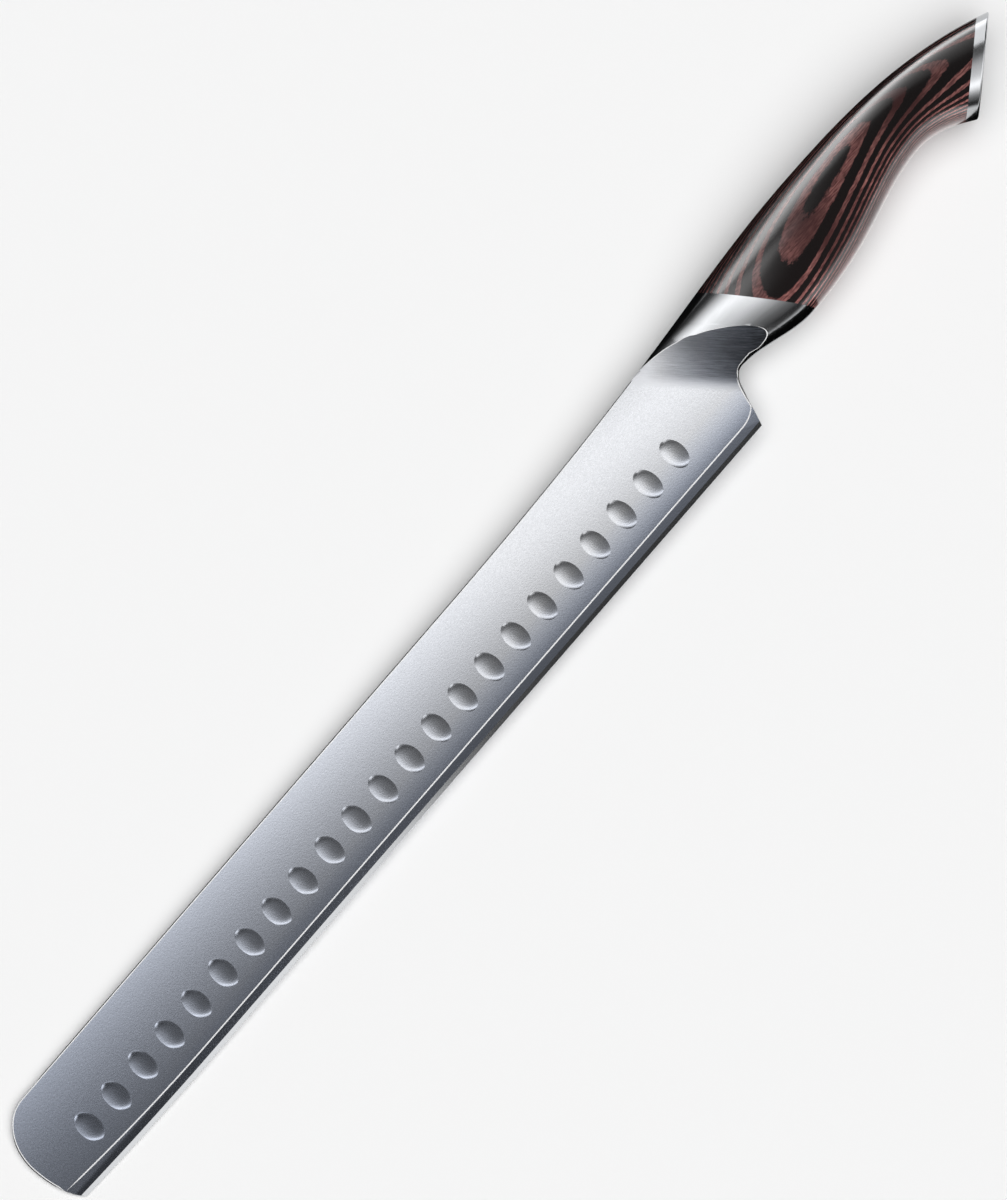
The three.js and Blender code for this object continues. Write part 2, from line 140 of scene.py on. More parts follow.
class BladeSizes(bpy.types.PropertyGroup):
    """Sizes of the blade"""

    length: length("Length", "Tip to heel corner", 305)
    tip_height: length("Tip Height", "Spine above the edge at the tip", 34.3)
    spine_height: length("Spine Height", "Spine above the edge where it starts to sweep up", 34.9)
    sweep: length("Sweep", "Length of that sweep ahead of the heel", 103)
    heel_height: length("Heel Height", "Spine above the heel corner", 38.75)
    heel_slope: share("Heel Slope", "Rise of the spine over the heel", 0.078)
    tip_round: length("Tip Round", "Round corner between the spine and the tip", 13.5)
    nose_height: length("Nose Height", "Foremost point of the tip above the edge", 17.5)
    tip_lower_round: length("Tip Lower Round", "Round corner below that point", 8.5)
    tip_rise: length("Tip Rise", "Rise of the edge at the tip", 1.4)
    tip_rise_length: length("Tip Rise Length", "Length over which the edge rises", 62)
    heel_lean: share("Heel Lean", "Run of the heel's back edge for each unit of height", 0.42)
    heel_rise: length("Heel Rise", "Straight part of the heel's back edge", 4.5)
    choil_setback: length("Choil Setback", "Top of the finger notch behind the heel", 9.6)
    choil_height: length("Choil Height", "Top of the finger notch above the edge", 15.9)
    choil_round: length("Choil Round", "Reach of the round top of the finger notch", 4.5)
    spine_thickness: length("Spine Thickness", "Thickness at the spine over the heel", 2.2)
    shoulder_thickness: length("Shoulder Thickness", "Where the face meets the bevel", 1.1)
    bevel_height: length("Bevel Height", "Top of the bevel above the edge", 3.8)
    bevel_flare: length("Bevel Flare", "Added height of the bevel at the tip", 1.6)
    bevel_curl: length("Bevel Curl", "Length over which the bevel curls up at the heel", 7)
    curl_height: length("Curl Height", "Where that curl meets the heel's back edge", 6)
    cut_height: length("Cut Height", "Cutting bevel at the very edge", 1.3)
    cut_thickness: length("Cut Thickness", "Thickness at the top of the cutting bevel", 0.56)
    edge_thickness: length("Edge Thickness", "Thickness of the edge itself", 0.14)
    spine_break: length("Spine Break", "Rounding along the spine and the tip", 0.3)
    choil_break: length("Choil Break", "Rounding along the finger notch", 0.75)
    choil_drop: length("Choil Drop", "Depth of that rounding", 0.5)
    # The next three sizes shape the strips that carry the painted highlight
    line_width: length("Line Width", "Bright line along the bevel and the finger notch", 0.34)
    spine_line: length("Spine Line", "Bright line along the spine and the tip", 0.28)
    line_rise: length("Line Rise", "Height of the line along the bevel and the finger notch", 0.12)
    seat: length("Seat", "How far the blade reaches under the bolster", 3)
    hollow_pitch: length("Hollow Pitch", "From one hollow to the next", 11.88)
    hollow_width: length("Hollow Width", "Hollow along the blade", 6.8)
    hollow_length: length("Hollow Length", "Hollow across the blade", 10.3)
    hollow_depth: length("Hollow Depth", "Depth of a hollow", 0.6)
    hollow_height: length("Hollow Height", "Centres above the edge", 13.9)
    hollow_setback: length("Hollow Setback", "Last centre ahead of the heel", 23.2)
    hollow_margin: length("Hollow Margin", "Bare blade at the tip", 20)


class HandleSizes(bpy.types.PropertyGroup):
    """Sizes of the bolster, the grip and the end cap"""

    length: length("Length", "Heel corner to butt", 137.2)
    arch_setback: length("Arch Setback", "Crest of the back behind the heel", 58)
    arch_height: length("Arch Height", "Crest of the back above the edge", 42.25)
    butt_height: length("Butt Height", "End of the back above the edge", 29.6)
    butt_slope: share("Butt Slope", "Fall of the back at the butt", 0.44)
    choil_slope: share("Choil Slope", "Fall of the belly at the finger notch", 0.05)
    belly_setback: length("Belly Setback", "Lowest point of the belly behind the heel", 35.5)
    belly_height: length("Belly Height", "Lowest point of the belly above the edge", 10.55)
    palm_height: length("Palm Height", "Belly midway to the waist", 13.55)
    palm_slope: share("Palm Slope", "Rise of the belly there", 0.225)
    waist_from_butt: length("Waist From Butt", "Waist ahead of the butt", 44.7)
    waist_height: length("Waist Height", "Belly at the waist", 18.65)
    hook_from_butt: length("Hook From Butt", "Start of the end cap on the belly", 29.2)
    hook_height: length("Hook Height", "Belly at the end cap", 13.25)
    hook_slope: share("Hook Slope", "Fall of the belly there", 0.7)
    neck_width: length("Neck Width", "Width under the plunge grind", 4.9)
    seam_width: length("Seam Width", "Width at the seam of bolster and wood", 16.5)
    seam_flare: share("Seam Flare", "Growth of the width there", 0.246)
    swell_width: length("Swell Width", "Widest point of the grip", 21)
    swell_setback: length("Swell Setback", "That point behind the heel", 72)
    butt_width: length("Butt Width", "Width at the butt", 18)
    section_power: share("Section Power", "2 is an ellipse, more is squarer", 2.45)
    neck_power: share("Neck Power", "The same where the bolster leaves the spine", 8)
    neck_fade: length("Neck Fade", "Length over which the neck gets rounder", 3)
    seam_back: length("Seam Back", "Seam of bolster and wood on the back", 16.9)
    seam_belly: length("Seam Belly", "The same on the belly", 36.4)
    ramp_ahead: length("Ramp Ahead", "Start of the plunge grind ahead of the heel", 14.6)
    ramp_angle: turn("Ramp Angle", "Slant of the plunge grind to the blade", 51.7)
    ramp_radius: length("Ramp Radius", "Radius of the plunge grind", 26)
    ramp_crease: length("Ramp Crease", "Rise of the crease where the plunge grind starts", 0.15)
    ramp_fade: length("Ramp Fade", "Length over which that crease fades", 2.5)
    # The lip carries the painted highlight round the plunge grind
    lip_width: length("Lip Width", "Bright lip around the plunge grind", 0.3)
    lip_rise: length("Lip Rise", "Height of that lip", 0.1)
    tang_root_height: length("Tang Root Height", "Middle of the tang at the heel", 27)
    tang_root_width: length("Tang Root Width", "Tang at the heel", 13)
    tang_waist_height: length("Tang Waist Height", "Middle of the tang at the waist", 29.5)
    tang_tail_width: length("Tang Tail Width", "Tang at its end", 7)
    tang_tail_slope: share("Tang Tail Slope", "Fall of the tang at its end", 0.6)
    tail_from_butt: length("Tail From Butt", "Middle of the tail along the end cap", 16)
    cap_angle: turn("Cap Angle", "Slant of the butt to the blade", 35)
    cap_thickness: length("Cap Thickness", "Thickness of the end cap", 3.6)
    cap_break: length("Cap Break", "Rounding of the end cap's rim", 0.7)
    glue_line: length("Glue Line", "Gap between the grip's halves", 0.05)
    pin_bore: length("Pin Bore", "Bore of the pins in the tang", 4.6)
    front_pin: length("Front Pin", "Front pin behind the heel", 48)
    rear_pin_from_butt: length("Rear Pin From Butt", "Rear pin ahead of the butt", 49)
    rows: IntProperty(name="Rows", description="Rows of the grip's mesh", default=130)


class LieAngles(bpy.types.PropertyGroup):
    """How the knife lies on the floor"""

    roll: turn("Roll", "Turn about its length that lays the lower face level", 0.9016)
    pitch: turn("Pitch", "Turn about its height that rests tip and grip on the floor", -1.4896)


class Finishes(bpy.types.PropertyGroup):
    """Colours, slopes and layers of the knife's materials"""

    satin: colour("Satin Steel", "Ground faces of the blade", (0.61, 0.62, 0.645))
    # Painted shade: a bluish, slightly darker steel colour, blended in towards the tip, the edge and the
    # plunge grind
    painted_shade_tint: colour(
        "Shaded Steel", "The same towards the tip, the edge and the plunge grind", (0.535, 0.585, 0.70)
    )
    polished: colour("Polished Steel", "Bolster and end cap", (0.54, 0.55, 0.565))
    # Painted highlight: a white colour on the lines along the grinds, standing in for light caught on their
    # edges
    bright: colour("Bright Lines", "Burnished lines along the grinds", (0.90, 0.90, 0.91))
    dark_layer: colour("Dark Layers", "Black layers of the wood", (0.008, 0.006, 0.006))
    red_layer: colour("Red Layers", "Red layers of the wood", (0.078, 0.027, 0.027))
    pale_layer: colour("Pale Lines", "Lighter streaks in the red layers", (0.310, 0.125, 0.112))
    adhesive: colour("Adhesive", "Cured adhesive round the tang", (0.50, 0.42, 0.24))
    drawn: colour("Drawn Steel", "Pins through the tang", (0.50, 0.50, 0.51))
    hone: share("Hone", "Slope added to the honed cutting bevel", 0.4)
    scoop: share("Scoop", "Slope added to the hollows, which are ground in from the butt's side", 0.12)
    layer_pitch: length("Layer Pitch", "From one red layer to the next", 0.9)
    layer_start: length("Layer Start", "Place of one red layer above the middle plane", 10.2)


class StageSettings(bpy.types.PropertyGroup):
    """Floor, lights and camera"""

    floor: colour("Floor", "Pale floor", (0.93, 0.93, 0.93))
    floor_radius: FloatProperty(
        name="Floor Radius", description="Reach of the floor", default=14.0, unit="LENGTH"
    )
    camera_tilt: turn("Camera Tilt", "Camera off the vertical", 8.5)
    camera_heading: turn("Camera Heading", "Turn of the picture over the knife", -49.146)
    camera_distance: FloatProperty(
        name="Camera Distance", description="Camera to the middle of the picture", default=3.0, unit="LENGTH"
    )
    picture_height: length("Picture Height", "Height of the picture at the knife", 352.756)
    aim: FloatVectorProperty(
        name="Aim",
        description="Middle of the picture",
        default=(-4.098 * MM, 3.189 * MM, 0.0),
        subtype="TRANSLATION",
    )
    card_height: length("Card Height", "Overhead softbox above the floor", 480)
    card_heading: turn("Card Heading", "Direction in which the softbox reaches out", 50)
    card_level: share("Card Level", "Brightness of the softbox", 1.0)


# Forms of the knife, in its own frame


def curve(nodes):
    """A smooth curve through nodes of x, y and slope, which runs straight on past its ends."""

    def height(x):
        following = next((i for i, node in enumerate(nodes) if node[0] > x), len(nodes))
        if following in (0, len(nodes)):
            end_x, end_y, slope = nodes[max(0, following - 1)]
            return end_y + slope * (x - end_x)
        x0, y0, slope0 = nodes[following - 1]
        x1, y1, slope1 = nodes[following]
        span = x1 - x0
        t = (x - x0) / span
        lead = t * (1 - t) * (1 - t) * span * slope0
        trail = t * t * (t - 1) * span * slope1
        return y0 + (y1 - y0) * t * t * (3 - 2 * t) + lead + trail

    return height


def solve(rising, low, high):
    """Where a rising function crosses zero between low and high."""
    for _ in range(SOLVE_STEPS):
        middle = (low + high) / 2
        if rising(middle) < 0:
            low = middle
        else:
            high = middle
    return (low + high) / 2


def bezier(points, t):
    """A point at t on the curve that the control points draw."""
    while len(points) > 1:
        points = [a.lerp(b, t) for a, b in zip(points, points[1:])]
    return points[0]


def spread(count):
    """Numbers from 0 to 1, closer together towards both ends."""
    return [(1 - math.cos(math.pi * i / count)) / 2 for i in range(count + 1)]


class KnifeForm:
    """The outlines, sections and grinds that the pieces share."""

    def __init__(self, scene):
        b = self.blade = scene.knife_blade
        h = self.handle = scene.knife_handle
        spine_slope = (b.spine_height - b.tip_height) / (b.length - b.sweep)
        waist = h.length - h.waist_from_butt
        hook = h.length - h.hook_from_butt
        self.waist = waist
        self.back = curve([
            (-b.sweep, b.spine_height, spine_slope),
            (0, b.heel_height, b.heel_slope),
            (h.arch_setback, h.arch_height, 0),
            (h.length, h.butt_height, -h.butt_slope),
        ])
        self.belly = curve([
            (b.choil_setback, b.choil_height, -h.choil_slope),
            (h.belly_setback, h.belly_height, 0),
            ((h.belly_setback + waist) / 2, h.palm_height, h.palm_slope),
            (waist, h.waist_height, 0),
            (hook, h.hook_height, -h.hook_slope),
        ])
        self.width = curve([
            (-h.ramp_ahead, h.neck_width, 0),
            ((h.seam_back + h.seam_belly) / 2, h.seam_width, h.seam_flare),
            (h.swell_setback, h.swell_width, 0),
            (h.length, h.butt_width, 0),
        ])
        heel_x = b.heel_lean * b.heel_rise
        self.choil = [
            Vector((heel_x, b.heel_rise)),
            Vector((heel_x * 2, b.heel_rise * 2)),
            Vector((b.choil_setback - b.choil_round, b.choil_height)),
            Vector((b.choil_setback, b.choil_height)),
        ]
        choil = [bezier(self.choil, i / CHOIL_STEPS) for i in range(CHOIL_STEPS + 1)]
        self.choil_x = [point.x for point in choil]
        self.choil_y = [point.y for point in choil]
        growth = (b.spine_thickness - b.shoulder_thickness) / 2
        self.face_slope = growth / (b.heel_height - b.bevel_height)
        seam_top = Vector((h.seam_back, self.back(h.seam_back)))
        seam_foot = Vector((h.seam_belly, self.belly(h.seam_belly)))
        down = (seam_foot - seam_top).normalized()
        self.seam = (seam_top, Vector((-down.y, down.x)))
        self.butt_normal = Vector((math.sin(h.cap_angle), -math.cos(h.cap_angle)))
        self.butt_point = Vector((h.length, h.butt_height))
        self.ramp_point = Vector((-h.ramp_ahead, self.back(-h.ramp_ahead)))
        self.ramp_normal = Vector((math.sin(h.ramp_angle), math.cos(h.ramp_angle)))
        self.ramp_along = Vector((math.cos(h.ramp_angle), -math.sin(h.ramp_angle)))

    def face(self, y):
        """Half the blade's thickness at height y."""
        return self.blade.shoulder_thickness / 2 + (y - self.blade.bevel_height) * self.face_slope

    def ramp_reach(self, x, y):
        """How far a point lies behind the start of the plunge grind."""
        return (Vector((x, y)) - self.ramp_point).dot(self.ramp_normal)

    def ramp(self, x, y):
        """Half the thickness that the plunge grind leaves."""
        reach = self.ramp_reach(x, y)
        if reach <= 0:
            return self.face(y) + reach * GRIND_LEAD
        along = (Vector((x, y)) - self.ramp_point).dot(self.ramp_along)
        near_spine = max(0.0, 1 - max(0.0, along) / GRIND_WIDENING_REACH)
        radius = self.handle.ramp_radius * (1 + GRIND_WIDENING * near_spine)
        reach = min(reach, radius)
        crease = self.handle.ramp_crease * (1 - math.exp(-((reach / self.handle.ramp_fade) ** 2)))
        crease *= max(0.0, 1 - reach / CREASE_REACH)
        return self.face(y) + crease + radius - math.sqrt(radius * radius - reach * reach)

    def under(self, x):
        """Lower outline of the bolster and the grip."""
        if x < self.blade.choil_setback:
            return float(np.interp(x, self.choil_x, self.choil_y))
        return self.belly(x)

    def on_body(self, x, angle):
        """A point of the handle's round section at x: angle 0 is the back, pi the belly."""
        h = self.handle
        back = self.back(x)
        under = self.under(x)
        fade = math.exp(-max(0.0, x + h.ramp_ahead) / h.neck_fade)
        power = 2 / (h.section_power + (h.neck_power - h.section_power) * fade)
        cosine = math.cos(angle)
        sine = math.sin(angle)
        y = (back + under) / 2 + math.copysign(abs(cosine) ** power, cosine) * (back - under) / 2
        z = math.copysign(abs(sine) ** power, sine) * self.width(x) / 2
        return Vector((x, y, z))

    def on_plane(self, plane, angle):
        """The same, where a plane across the handle cuts it."""
        point, normal = plane
        place = self.on_body(point.x, angle)
        for _ in range(PLANE_STEPS):
            ahead = (place.x - point.x) * normal.x + (place.y - point.y) * normal.y
            ahead_next = self.on_body(place.x + NUDGE, angle).y - place.y
            slope = normal.x + normal.y * ahead_next / NUDGE
            place = self.on_body(place.x - ahead / slope, angle)
            if abs(ahead) < WELD / 10:
                break
        return place

    def butt(self, depth):
        """The plane of the butt, sunk by depth."""
        return self.butt_point - self.butt_normal * depth, self.butt_normal

    def grip_plane(self, part, depth):
        """A plane across the grip, from the seam at part 0 to the butt sunk by depth at part 1."""
        seam_point, seam_normal = self.seam
        end = solve(lambda x: self.depth_of(x, depth), seam_point.x, self.handle.length)
        start_angle = math.atan2(seam_normal.y, seam_normal.x)
        end_angle = math.atan2(self.butt_normal.y, self.butt_normal.x)
        angle = start_angle + (end_angle - start_angle) * part
        x = seam_point.x + (end - seam_point.x) * part
        return Vector((x, self.back(x))), Vector((math.cos(angle), math.sin(angle)))

    def depth_of(self, x, depth):
        """How far the back at x lies past the butt sunk by depth."""
        point, normal = self.butt(depth)
        return (Vector((x, self.back(x))) - point).dot(normal)

    def tip_share(self, x):
        """Share of the tip's rise at x: none along the straight edge, all of it at the tip."""
        b = self.blade
        run = max(0.0, b.tip_rise_length - b.length - x) / b.tip_rise_length
        return run * run

    def edge(self, x):
        """Height of the edge itself."""
        return self.blade.tip_rise * self.tip_share(x)

    def cut(self, x):
        """Top of the cutting bevel."""
        return self.edge(x) + self.blade.cut_height

    def shoulder(self, x):
        """Top of the bevel, which curls up at the heel."""
        b = self.blade
        heel_x = b.heel_lean * b.curl_height
        curl = max(0.0, 1 - (heel_x - x) / b.bevel_curl) ** 3
        lift = (b.curl_height - b.bevel_height) * curl
        return self.edge(x) + b.bevel_height + b.bevel_flare * self.tip_share(x) + lift


# Tools for meshes


def patch(bm, place, columns, rows, material=lambda u, v: 0):
    """A sheet of quads, laid out by place(u, v) with u and v from 0 to 1, finished by material(u, v)."""
    made = bmesh.ops.create_grid(bm, x_segments=columns, y_segments=rows, size=0.5)
    for face in {face for vert in made["verts"] for face in vert.link_faces}:
        middle = face.calc_center_median()
        face.material_index = material(middle.x + 0.5, middle.y + 0.5)
    for vert in made["verts"]:
        vert.co = place(vert.co.x + 0.5, vert.co.y + 0.5)


def close_up(bm):
    """Welds a mesh, fills its open ends and turns its faces outwards."""
    bmesh.ops.remove_doubles(bm, verts=bm.verts, dist=WELD)
    bmesh.ops.dissolve_degenerate(bm, edges=bm.edges, dist=WELD)
    bmesh.ops.holes_fill(bm, edges=[edge for edge in bm.edges if edge.is_boundary], sides=0)
    bmesh.ops.recalc_face_normals(bm, faces=bm.faces)


def draw_out(bm, edges):
    """Extrudes edges, and gives the new vertices, open edges and faces."""
    made = bmesh.ops.extrude_edge_only(bm, edges=edges)["geom"]
    verts = [part for part in made if isinstance(part, bmesh.types.BMVert)]
    rim = [part for part in made if isinstance(part, bmesh.types.BMEdge) and part.is_boundary]
    faces = [part for part in made if isinstance(part, bmesh.types.BMFace)]
    return verts, rim, faces


def rim_circle(bm, segments, radius, place):
    """The edges of a circle whose points are moved to place(x, y)."""
    verts = bmesh.ops.create_circle(bm, cap_ends=False, segments=segments, radius=radius)["verts"]
    for vert in verts:
        vert.co = place(vert.co.x, vert.co.y)
    return list({edge for vert in verts for edge in vert.link_edges})


def sharpen(bm, angle):
    """Smooth faces, with sharp edges where they meet at more than an angle or change their finish."""
    for face in bm.faces:
        face.smooth = True
    for edge in bm.edges:
        finishes = {face.material_index for face in edge.link_faces}
        edge.smooth = len(finishes) == 1 and edge.calc_face_angle(math.pi) < angle


def lie_matrix(scene):
    """Lays the knife's own frame down on the floor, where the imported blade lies."""
    lie = scene.knife_lie
    b = scene.knife_blade
    low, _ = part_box("blade")
    turned = Euler((lie.roll, lie.pitch, 0)).to_matrix().to_4x4()
    rest = b.shoulder_thickness / 2 * math.cos(lie.roll) - b.bevel_height * math.sin(lie.roll)
    x = low.x + b.length * math.cos(lie.pitch)
    z = b.length * math.sin(-lie.pitch) + rest
    return Matrix.Translation((x, low.y, z)) @ turned


def settle(scene, bm, name, ending=""):
    """Makes a mesh an object of the scene."""
    mesh = bpy.data.meshes.new(name + "_mesh")
    bm.to_mesh(mesh)
    bm.free()
    made = bpy.data.objects.new(name + ending, mesh)
    scene.collection.objects.link(made)
    return made


def finish_piece(context, bm, name, materials):
    """Lays a mesh down as a piece that rides on the knife and stands for its CAD node."""
    bmesh.ops.transform(bm, matrix=lie_matrix(context.scene), verts=bm.verts)
    piece = settle(context.scene, bm, name, "_piece")
    for material in materials:
        piece.data.materials.append(material)
    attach(piece, "root")
    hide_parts(name)


# Blade


def tang_outline(form):
    """The hidden tang from its root in the bolster round its tail and back."""
    h = form.handle
    along = Vector((math.cos(h.cap_angle), math.sin(h.cap_angle)))
    tail = form.butt_point - along * h.tail_from_butt - form.butt_normal * h.cap_thickness
    middle = curve([
        (0, h.tang_root_height, 0),
        (form.waist, h.tang_waist_height, 0),
        (tail.x, tail.y, -h.tang_tail_slope),
    ])
    root = form.blade.choil_setback
    lower = []
    upper = []
    for i in range(TANG_STEPS + 1):
        x = root + (tail.x - root) * i / TANG_STEPS
        half = (h.tang_root_width + (h.tang_tail_width - h.tang_root_width) * x / tail.x) / 2
        lower.append(Vector((x, middle(x) - half)))
        upper.append(Vector((x, middle(x) + half)))
    return lower + upper[::-1], middle


def blade_rim(form):
    """The outline above the bevel, from the heel round to the tip, with the break at each point.

    A break is its width, its depth, and the width of the painted highlight line along it.
    """
    b = form.blade
    rim = []
    start = solve(lambda t: bezier(form.choil, t).y - b.curl_height, 0.0, 1.0)
    for i in range(NOTCH_STEPS + 1):
        point = bezier(form.choil, start + (1 - start) * i / NOTCH_STEPS)
        if form.ramp_reach(point.x, point.y) < b.seat:
            part = HEEL_BREAK + (1 - HEEL_BREAK) * min(1.0, 2 * i / NOTCH_STEPS)
            wide = (b.choil_break - b.line_width) * part
            rim.append((point, wide, b.choil_drop * part, b.line_width))
    outline, _ = tang_outline(form)
    rim += [(point, 0.0, 0.0, 0.0) for point in outline]
    inner = Vector((form.ramp_point.x + b.seat, form.back(form.ramp_point.x) - b.spine_thickness / 2))
    rim.append((inner, 0.0, 0.0, 0.0))
    corner = -b.length + b.tip_round
    for i in range(SPINE_STEPS + 1):
        x = form.ramp_point.x + (corner - form.ramp_point.x) * i / SPINE_STEPS
        line = b.spine_line * min(1.0, i / TAPER_POINTS)
        rim.append((Vector((x, form.back(x))), b.spine_break, b.spine_break, line))
    rise = form.back(corner) - b.nose_height
    for i in range(1, TIP_STEPS + 1):
        angle = math.pi / 2 * (1 + i / TIP_STEPS)
        point = Vector((corner + b.tip_round * math.cos(angle), b.nose_height + rise * math.sin(angle)))
        rim.append((point, b.spine_break, b.spine_break, b.spine_line))
    end = tip_meets(form, form.shoulder)
    for i in range(1, CORNER_STEPS + 1):
        taper = min(1.0, (CORNER_STEPS - i) / TAPER_POINTS)
        point = bezier(tip_corner(form), end * i / CORNER_STEPS)
        rim.append((point, b.spine_break * taper, b.spine_break * taper, b.spine_line * taper))
    return rim


def tip_corner(form):
    """Control points of the round corner between the tip and the edge."""
    b = form.blade
    return [
        Vector((-b.length, b.nose_height)),
        Vector((-b.length, b.tip_rise + b.cut_height)),
        Vector((-b.length + b.tip_lower_round, TIP_CORNER_END)),
    ]


def tip_meets(form, line):
    """Where on the tip's lower corner a line of the bevel ends."""
    corner = tip_corner(form)
    return solve(lambda t: line(bezier(corner, t).x) - bezier(corner, t).y, 0.0, 1.0)


def inward(points, i):
    """The direction into an outline that runs anticlockwise, at one of its points."""
    before = points[max(0, i - 1)]
    after = points[min(len(points) - 1, i + 1)]
    run = (after - before).normalized()
    return Vector((-run.y, run.x))


def rim_rows(form):
    """Rows of one side's rim, from the flat face out to the outline."""
    b = form.blade
    rim = blade_rim(form)
    points = [point for point, _, _, _ in rim]
    rows = [[], [], [], [], []]
    for i, (point, wide, drop, line) in enumerate(rim):
        aim = inward(points, i)
        rise = b.line_rise if line == b.line_width else 0.0
        reaches = (wide + line, wide + line * LINE_CREST, wide, wide * BREAK_CREST, 0.0)
        lifts = (0.0, rise, 0.0, -drop * BREAK_CREST, -drop)
        for row, reach, lift in zip(rows, reaches, lifts):
            place = point + aim * reach
            row.append(Vector((place.x, place.y, form.face(place.y) + lift)))
    return rows


def bevel_rows(form, rim):
    """Rows of the bevel: down the tip's corner, along the edge and up the heel's back edge."""
    b = form.blade
    corner = tip_corner(form)
    meets = [tip_meets(form, line) for line in (form.shoulder, form.cut, form.edge)]
    tips = [bezier(corner, meet) for meet in meets]
    start = rim[0][-1]
    ends = [row[0] for row in rim]
    stations = spread(BEVEL_STEPS)
    inset = tips[0].x + TIP_INSET
    curl = ends[0].x - b.bevel_curl
    line = [b.line_width * part for part in BEVEL_LINE]
    lift = (0.0, b.line_rise, 0.0)

    def shoulder_at(row, x):
        taper = min(1.0, (x - tips[0].x) / LINE_TAPER)
        y = form.shoulder(x) + line[row] * taper
        return Vector((x, y, form.face(y) + lift[row] * taper))

    rows = [[], [], [], [], []]
    for j in range(BEVEL_TIP_STEPS):
        t = j / BEVEL_TIP_STEPS
        for row in range(3):
            rows[row].append(shoulder_at(row, tips[0].x + (inset - tips[0].x) * t))
        cut = Vector((tips[1].x, tips[1].y, b.cut_thickness / 2))
        rows[3].append(start.lerp(cut, t))
        low = bezier(corner, meets[0] + (meets[2] - meets[0]) * t)
        rows[4].append(Vector((low.x, low.y, start.z + (b.edge_thickness / 2 - start.z) * t)))
    for u in stations:
        for row in range(3):
            rows[row].append(shoulder_at(row, inset + (curl - inset) * u))
        x = tips[1].x + (b.heel_lean * b.cut_height - tips[1].x) * u
        rows[3].append(Vector((x, form.cut(x), b.cut_thickness / 2)))
        x = tips[2].x * (1 - u)
        rows[4].append(Vector((x, form.edge(x), b.edge_thickness / 2)))
    for j in range(1, BEVEL_HEEL_STEPS + 1):
        t = j / BEVEL_HEEL_STEPS
        for row in range(5):
            first = rows[row][BEVEL_TIP_STEPS + len(stations) - 1]
            last = ends[row]
            if row < 3:
                bend = Vector((first.x + (last.x - first.x) * HEEL_BEND, first.y, first.z))
                rows[row].append(bezier([first, bend, last], t))
            else:
                rows[row].append(first.lerp(last, t))
    return rows


def add_blade_side(bm, form, side, number):
    """One ground face of the blade with its bevel, its broken edges and its row of hollows."""
    rim = rim_rows(form)
    bevel = bevel_rows(form, rim)
    rows = [a + b[1:-1] for a, b in zip(rim, bevel)]
    first_bevel = len(rim[0])

    def at(row, i):
        place = rows[row][i]
        return Vector((place.x, place.y, place.z * side))

    loop = []
    for i in range(len(rows[0])):
        vert = bm.verts.new(at(0, i))
        vert[number] = i
        loop.append(vert)
    edges = [bm.edges.new(pair) for pair in zip(loop, loop[1:] + loop[:1])]
    hollows = add_hollow_rims(bm, form, side)
    rims = [edge for ring in hollows for edge in ring] + add_bore_rims(bm, form, side)
    bmesh.ops.triangle_fill(
        bm, use_beauty=True, use_dissolve=False, edges=edges + rims, normal=(0, 0, side)
    )
    for edge in edges + rims:
        edge.smooth = False
    sink_hollows(bm, form, side, hollows)
    for row in range(1, len(rows)):
        verts, edges, _ = draw_out(bm, edges)
        for vert in verts:
            vert.co = at(row, vert[number])
        for edge in edges:
            edge.smooth = row == 3 and all(vert[number] < first_bevel for vert in edge.verts)
        for face in {face for edge in edges for face in edge.link_faces}:
            on_bevel = all(vert[number] >= first_bevel for vert in face.verts)
            # The first rows out from the face form the painted highlight line
            if row < 3:
                face.material_index = PAINTED_HIGHLIGHT
            elif on_bevel:
                face.material_index = HONED if row == 4 else SATIN
            else:
                face.material_index = POLISHED


def add_hollow_rims(bm, form, side):
    """Rims of the oval hollows in one face. The row on the lower face sits half a pitch ahead."""
    b = form.blade
    row = b.length - b.hollow_setback - b.hollow_margin
    ahead = 0.0 if side > 0 else b.hollow_pitch / 2
    rings = []
    while ahead <= row:
        centre = Vector((-b.hollow_setback - ahead, b.hollow_height))

        def place(across, along, centre=centre):
            y = centre.y + along * b.hollow_length
            return Vector((centre.x + across * b.hollow_width, y, side * form.face(y)))

        rings.append(rim_circle(bm, HOLLOW_SEGMENTS, 0.5, place))
        ahead += b.hollow_pitch
    return rings


def add_bore_rims(bm, form, side):
    """Rims of the pin bores through the tang."""
    h = form.handle
    _, middle = tang_outline(form)
    edges = []
    for pin in (h.front_pin, h.length - h.rear_pin_from_butt):

        def place(along, across, pin=pin):
            y = middle(pin) + across
            return Vector((pin + along, y, side * form.face(y)))

        edges += rim_circle(bm, BORE_SEGMENTS, h.pin_bore / 2, place)
    return edges


def sink_hollows(bm, form, side, rings):
    """Draws each rim in, ring by ring, to the bottom of its hollow."""
    b = form.blade
    half_width, half_length = b.hollow_width / 2, b.hollow_length / 2
    for edges in rings:
        corners = {vert for edge in edges for vert in edge.verts}
        centre = sum((vert.co for vert in corners), Vector()) / len(corners)
        before = 1.0
        for reach in HOLLOW_REACHES:
            verts, edges, faces = draw_out(bm, edges)
            for face in faces:
                face.material_index = HOLLOW
            for vert in verts:
                x = centre.x + (vert.co.x - centre.x) * reach / before
                y = centre.y + (vert.co.y - centre.y) * reach / before
                across = (x - centre.x) / half_width
                along = (y - centre.y) / half_length
                depth = b.hollow_depth * (1 - across * across - reach**4 * along * along)
                vert.co = Vector((x, y, side * (form.face(y) - depth)))
            before = reach
        bmesh.ops.edgeloop_fill(bm, edges=edges, mat_nr=HOLLOW)


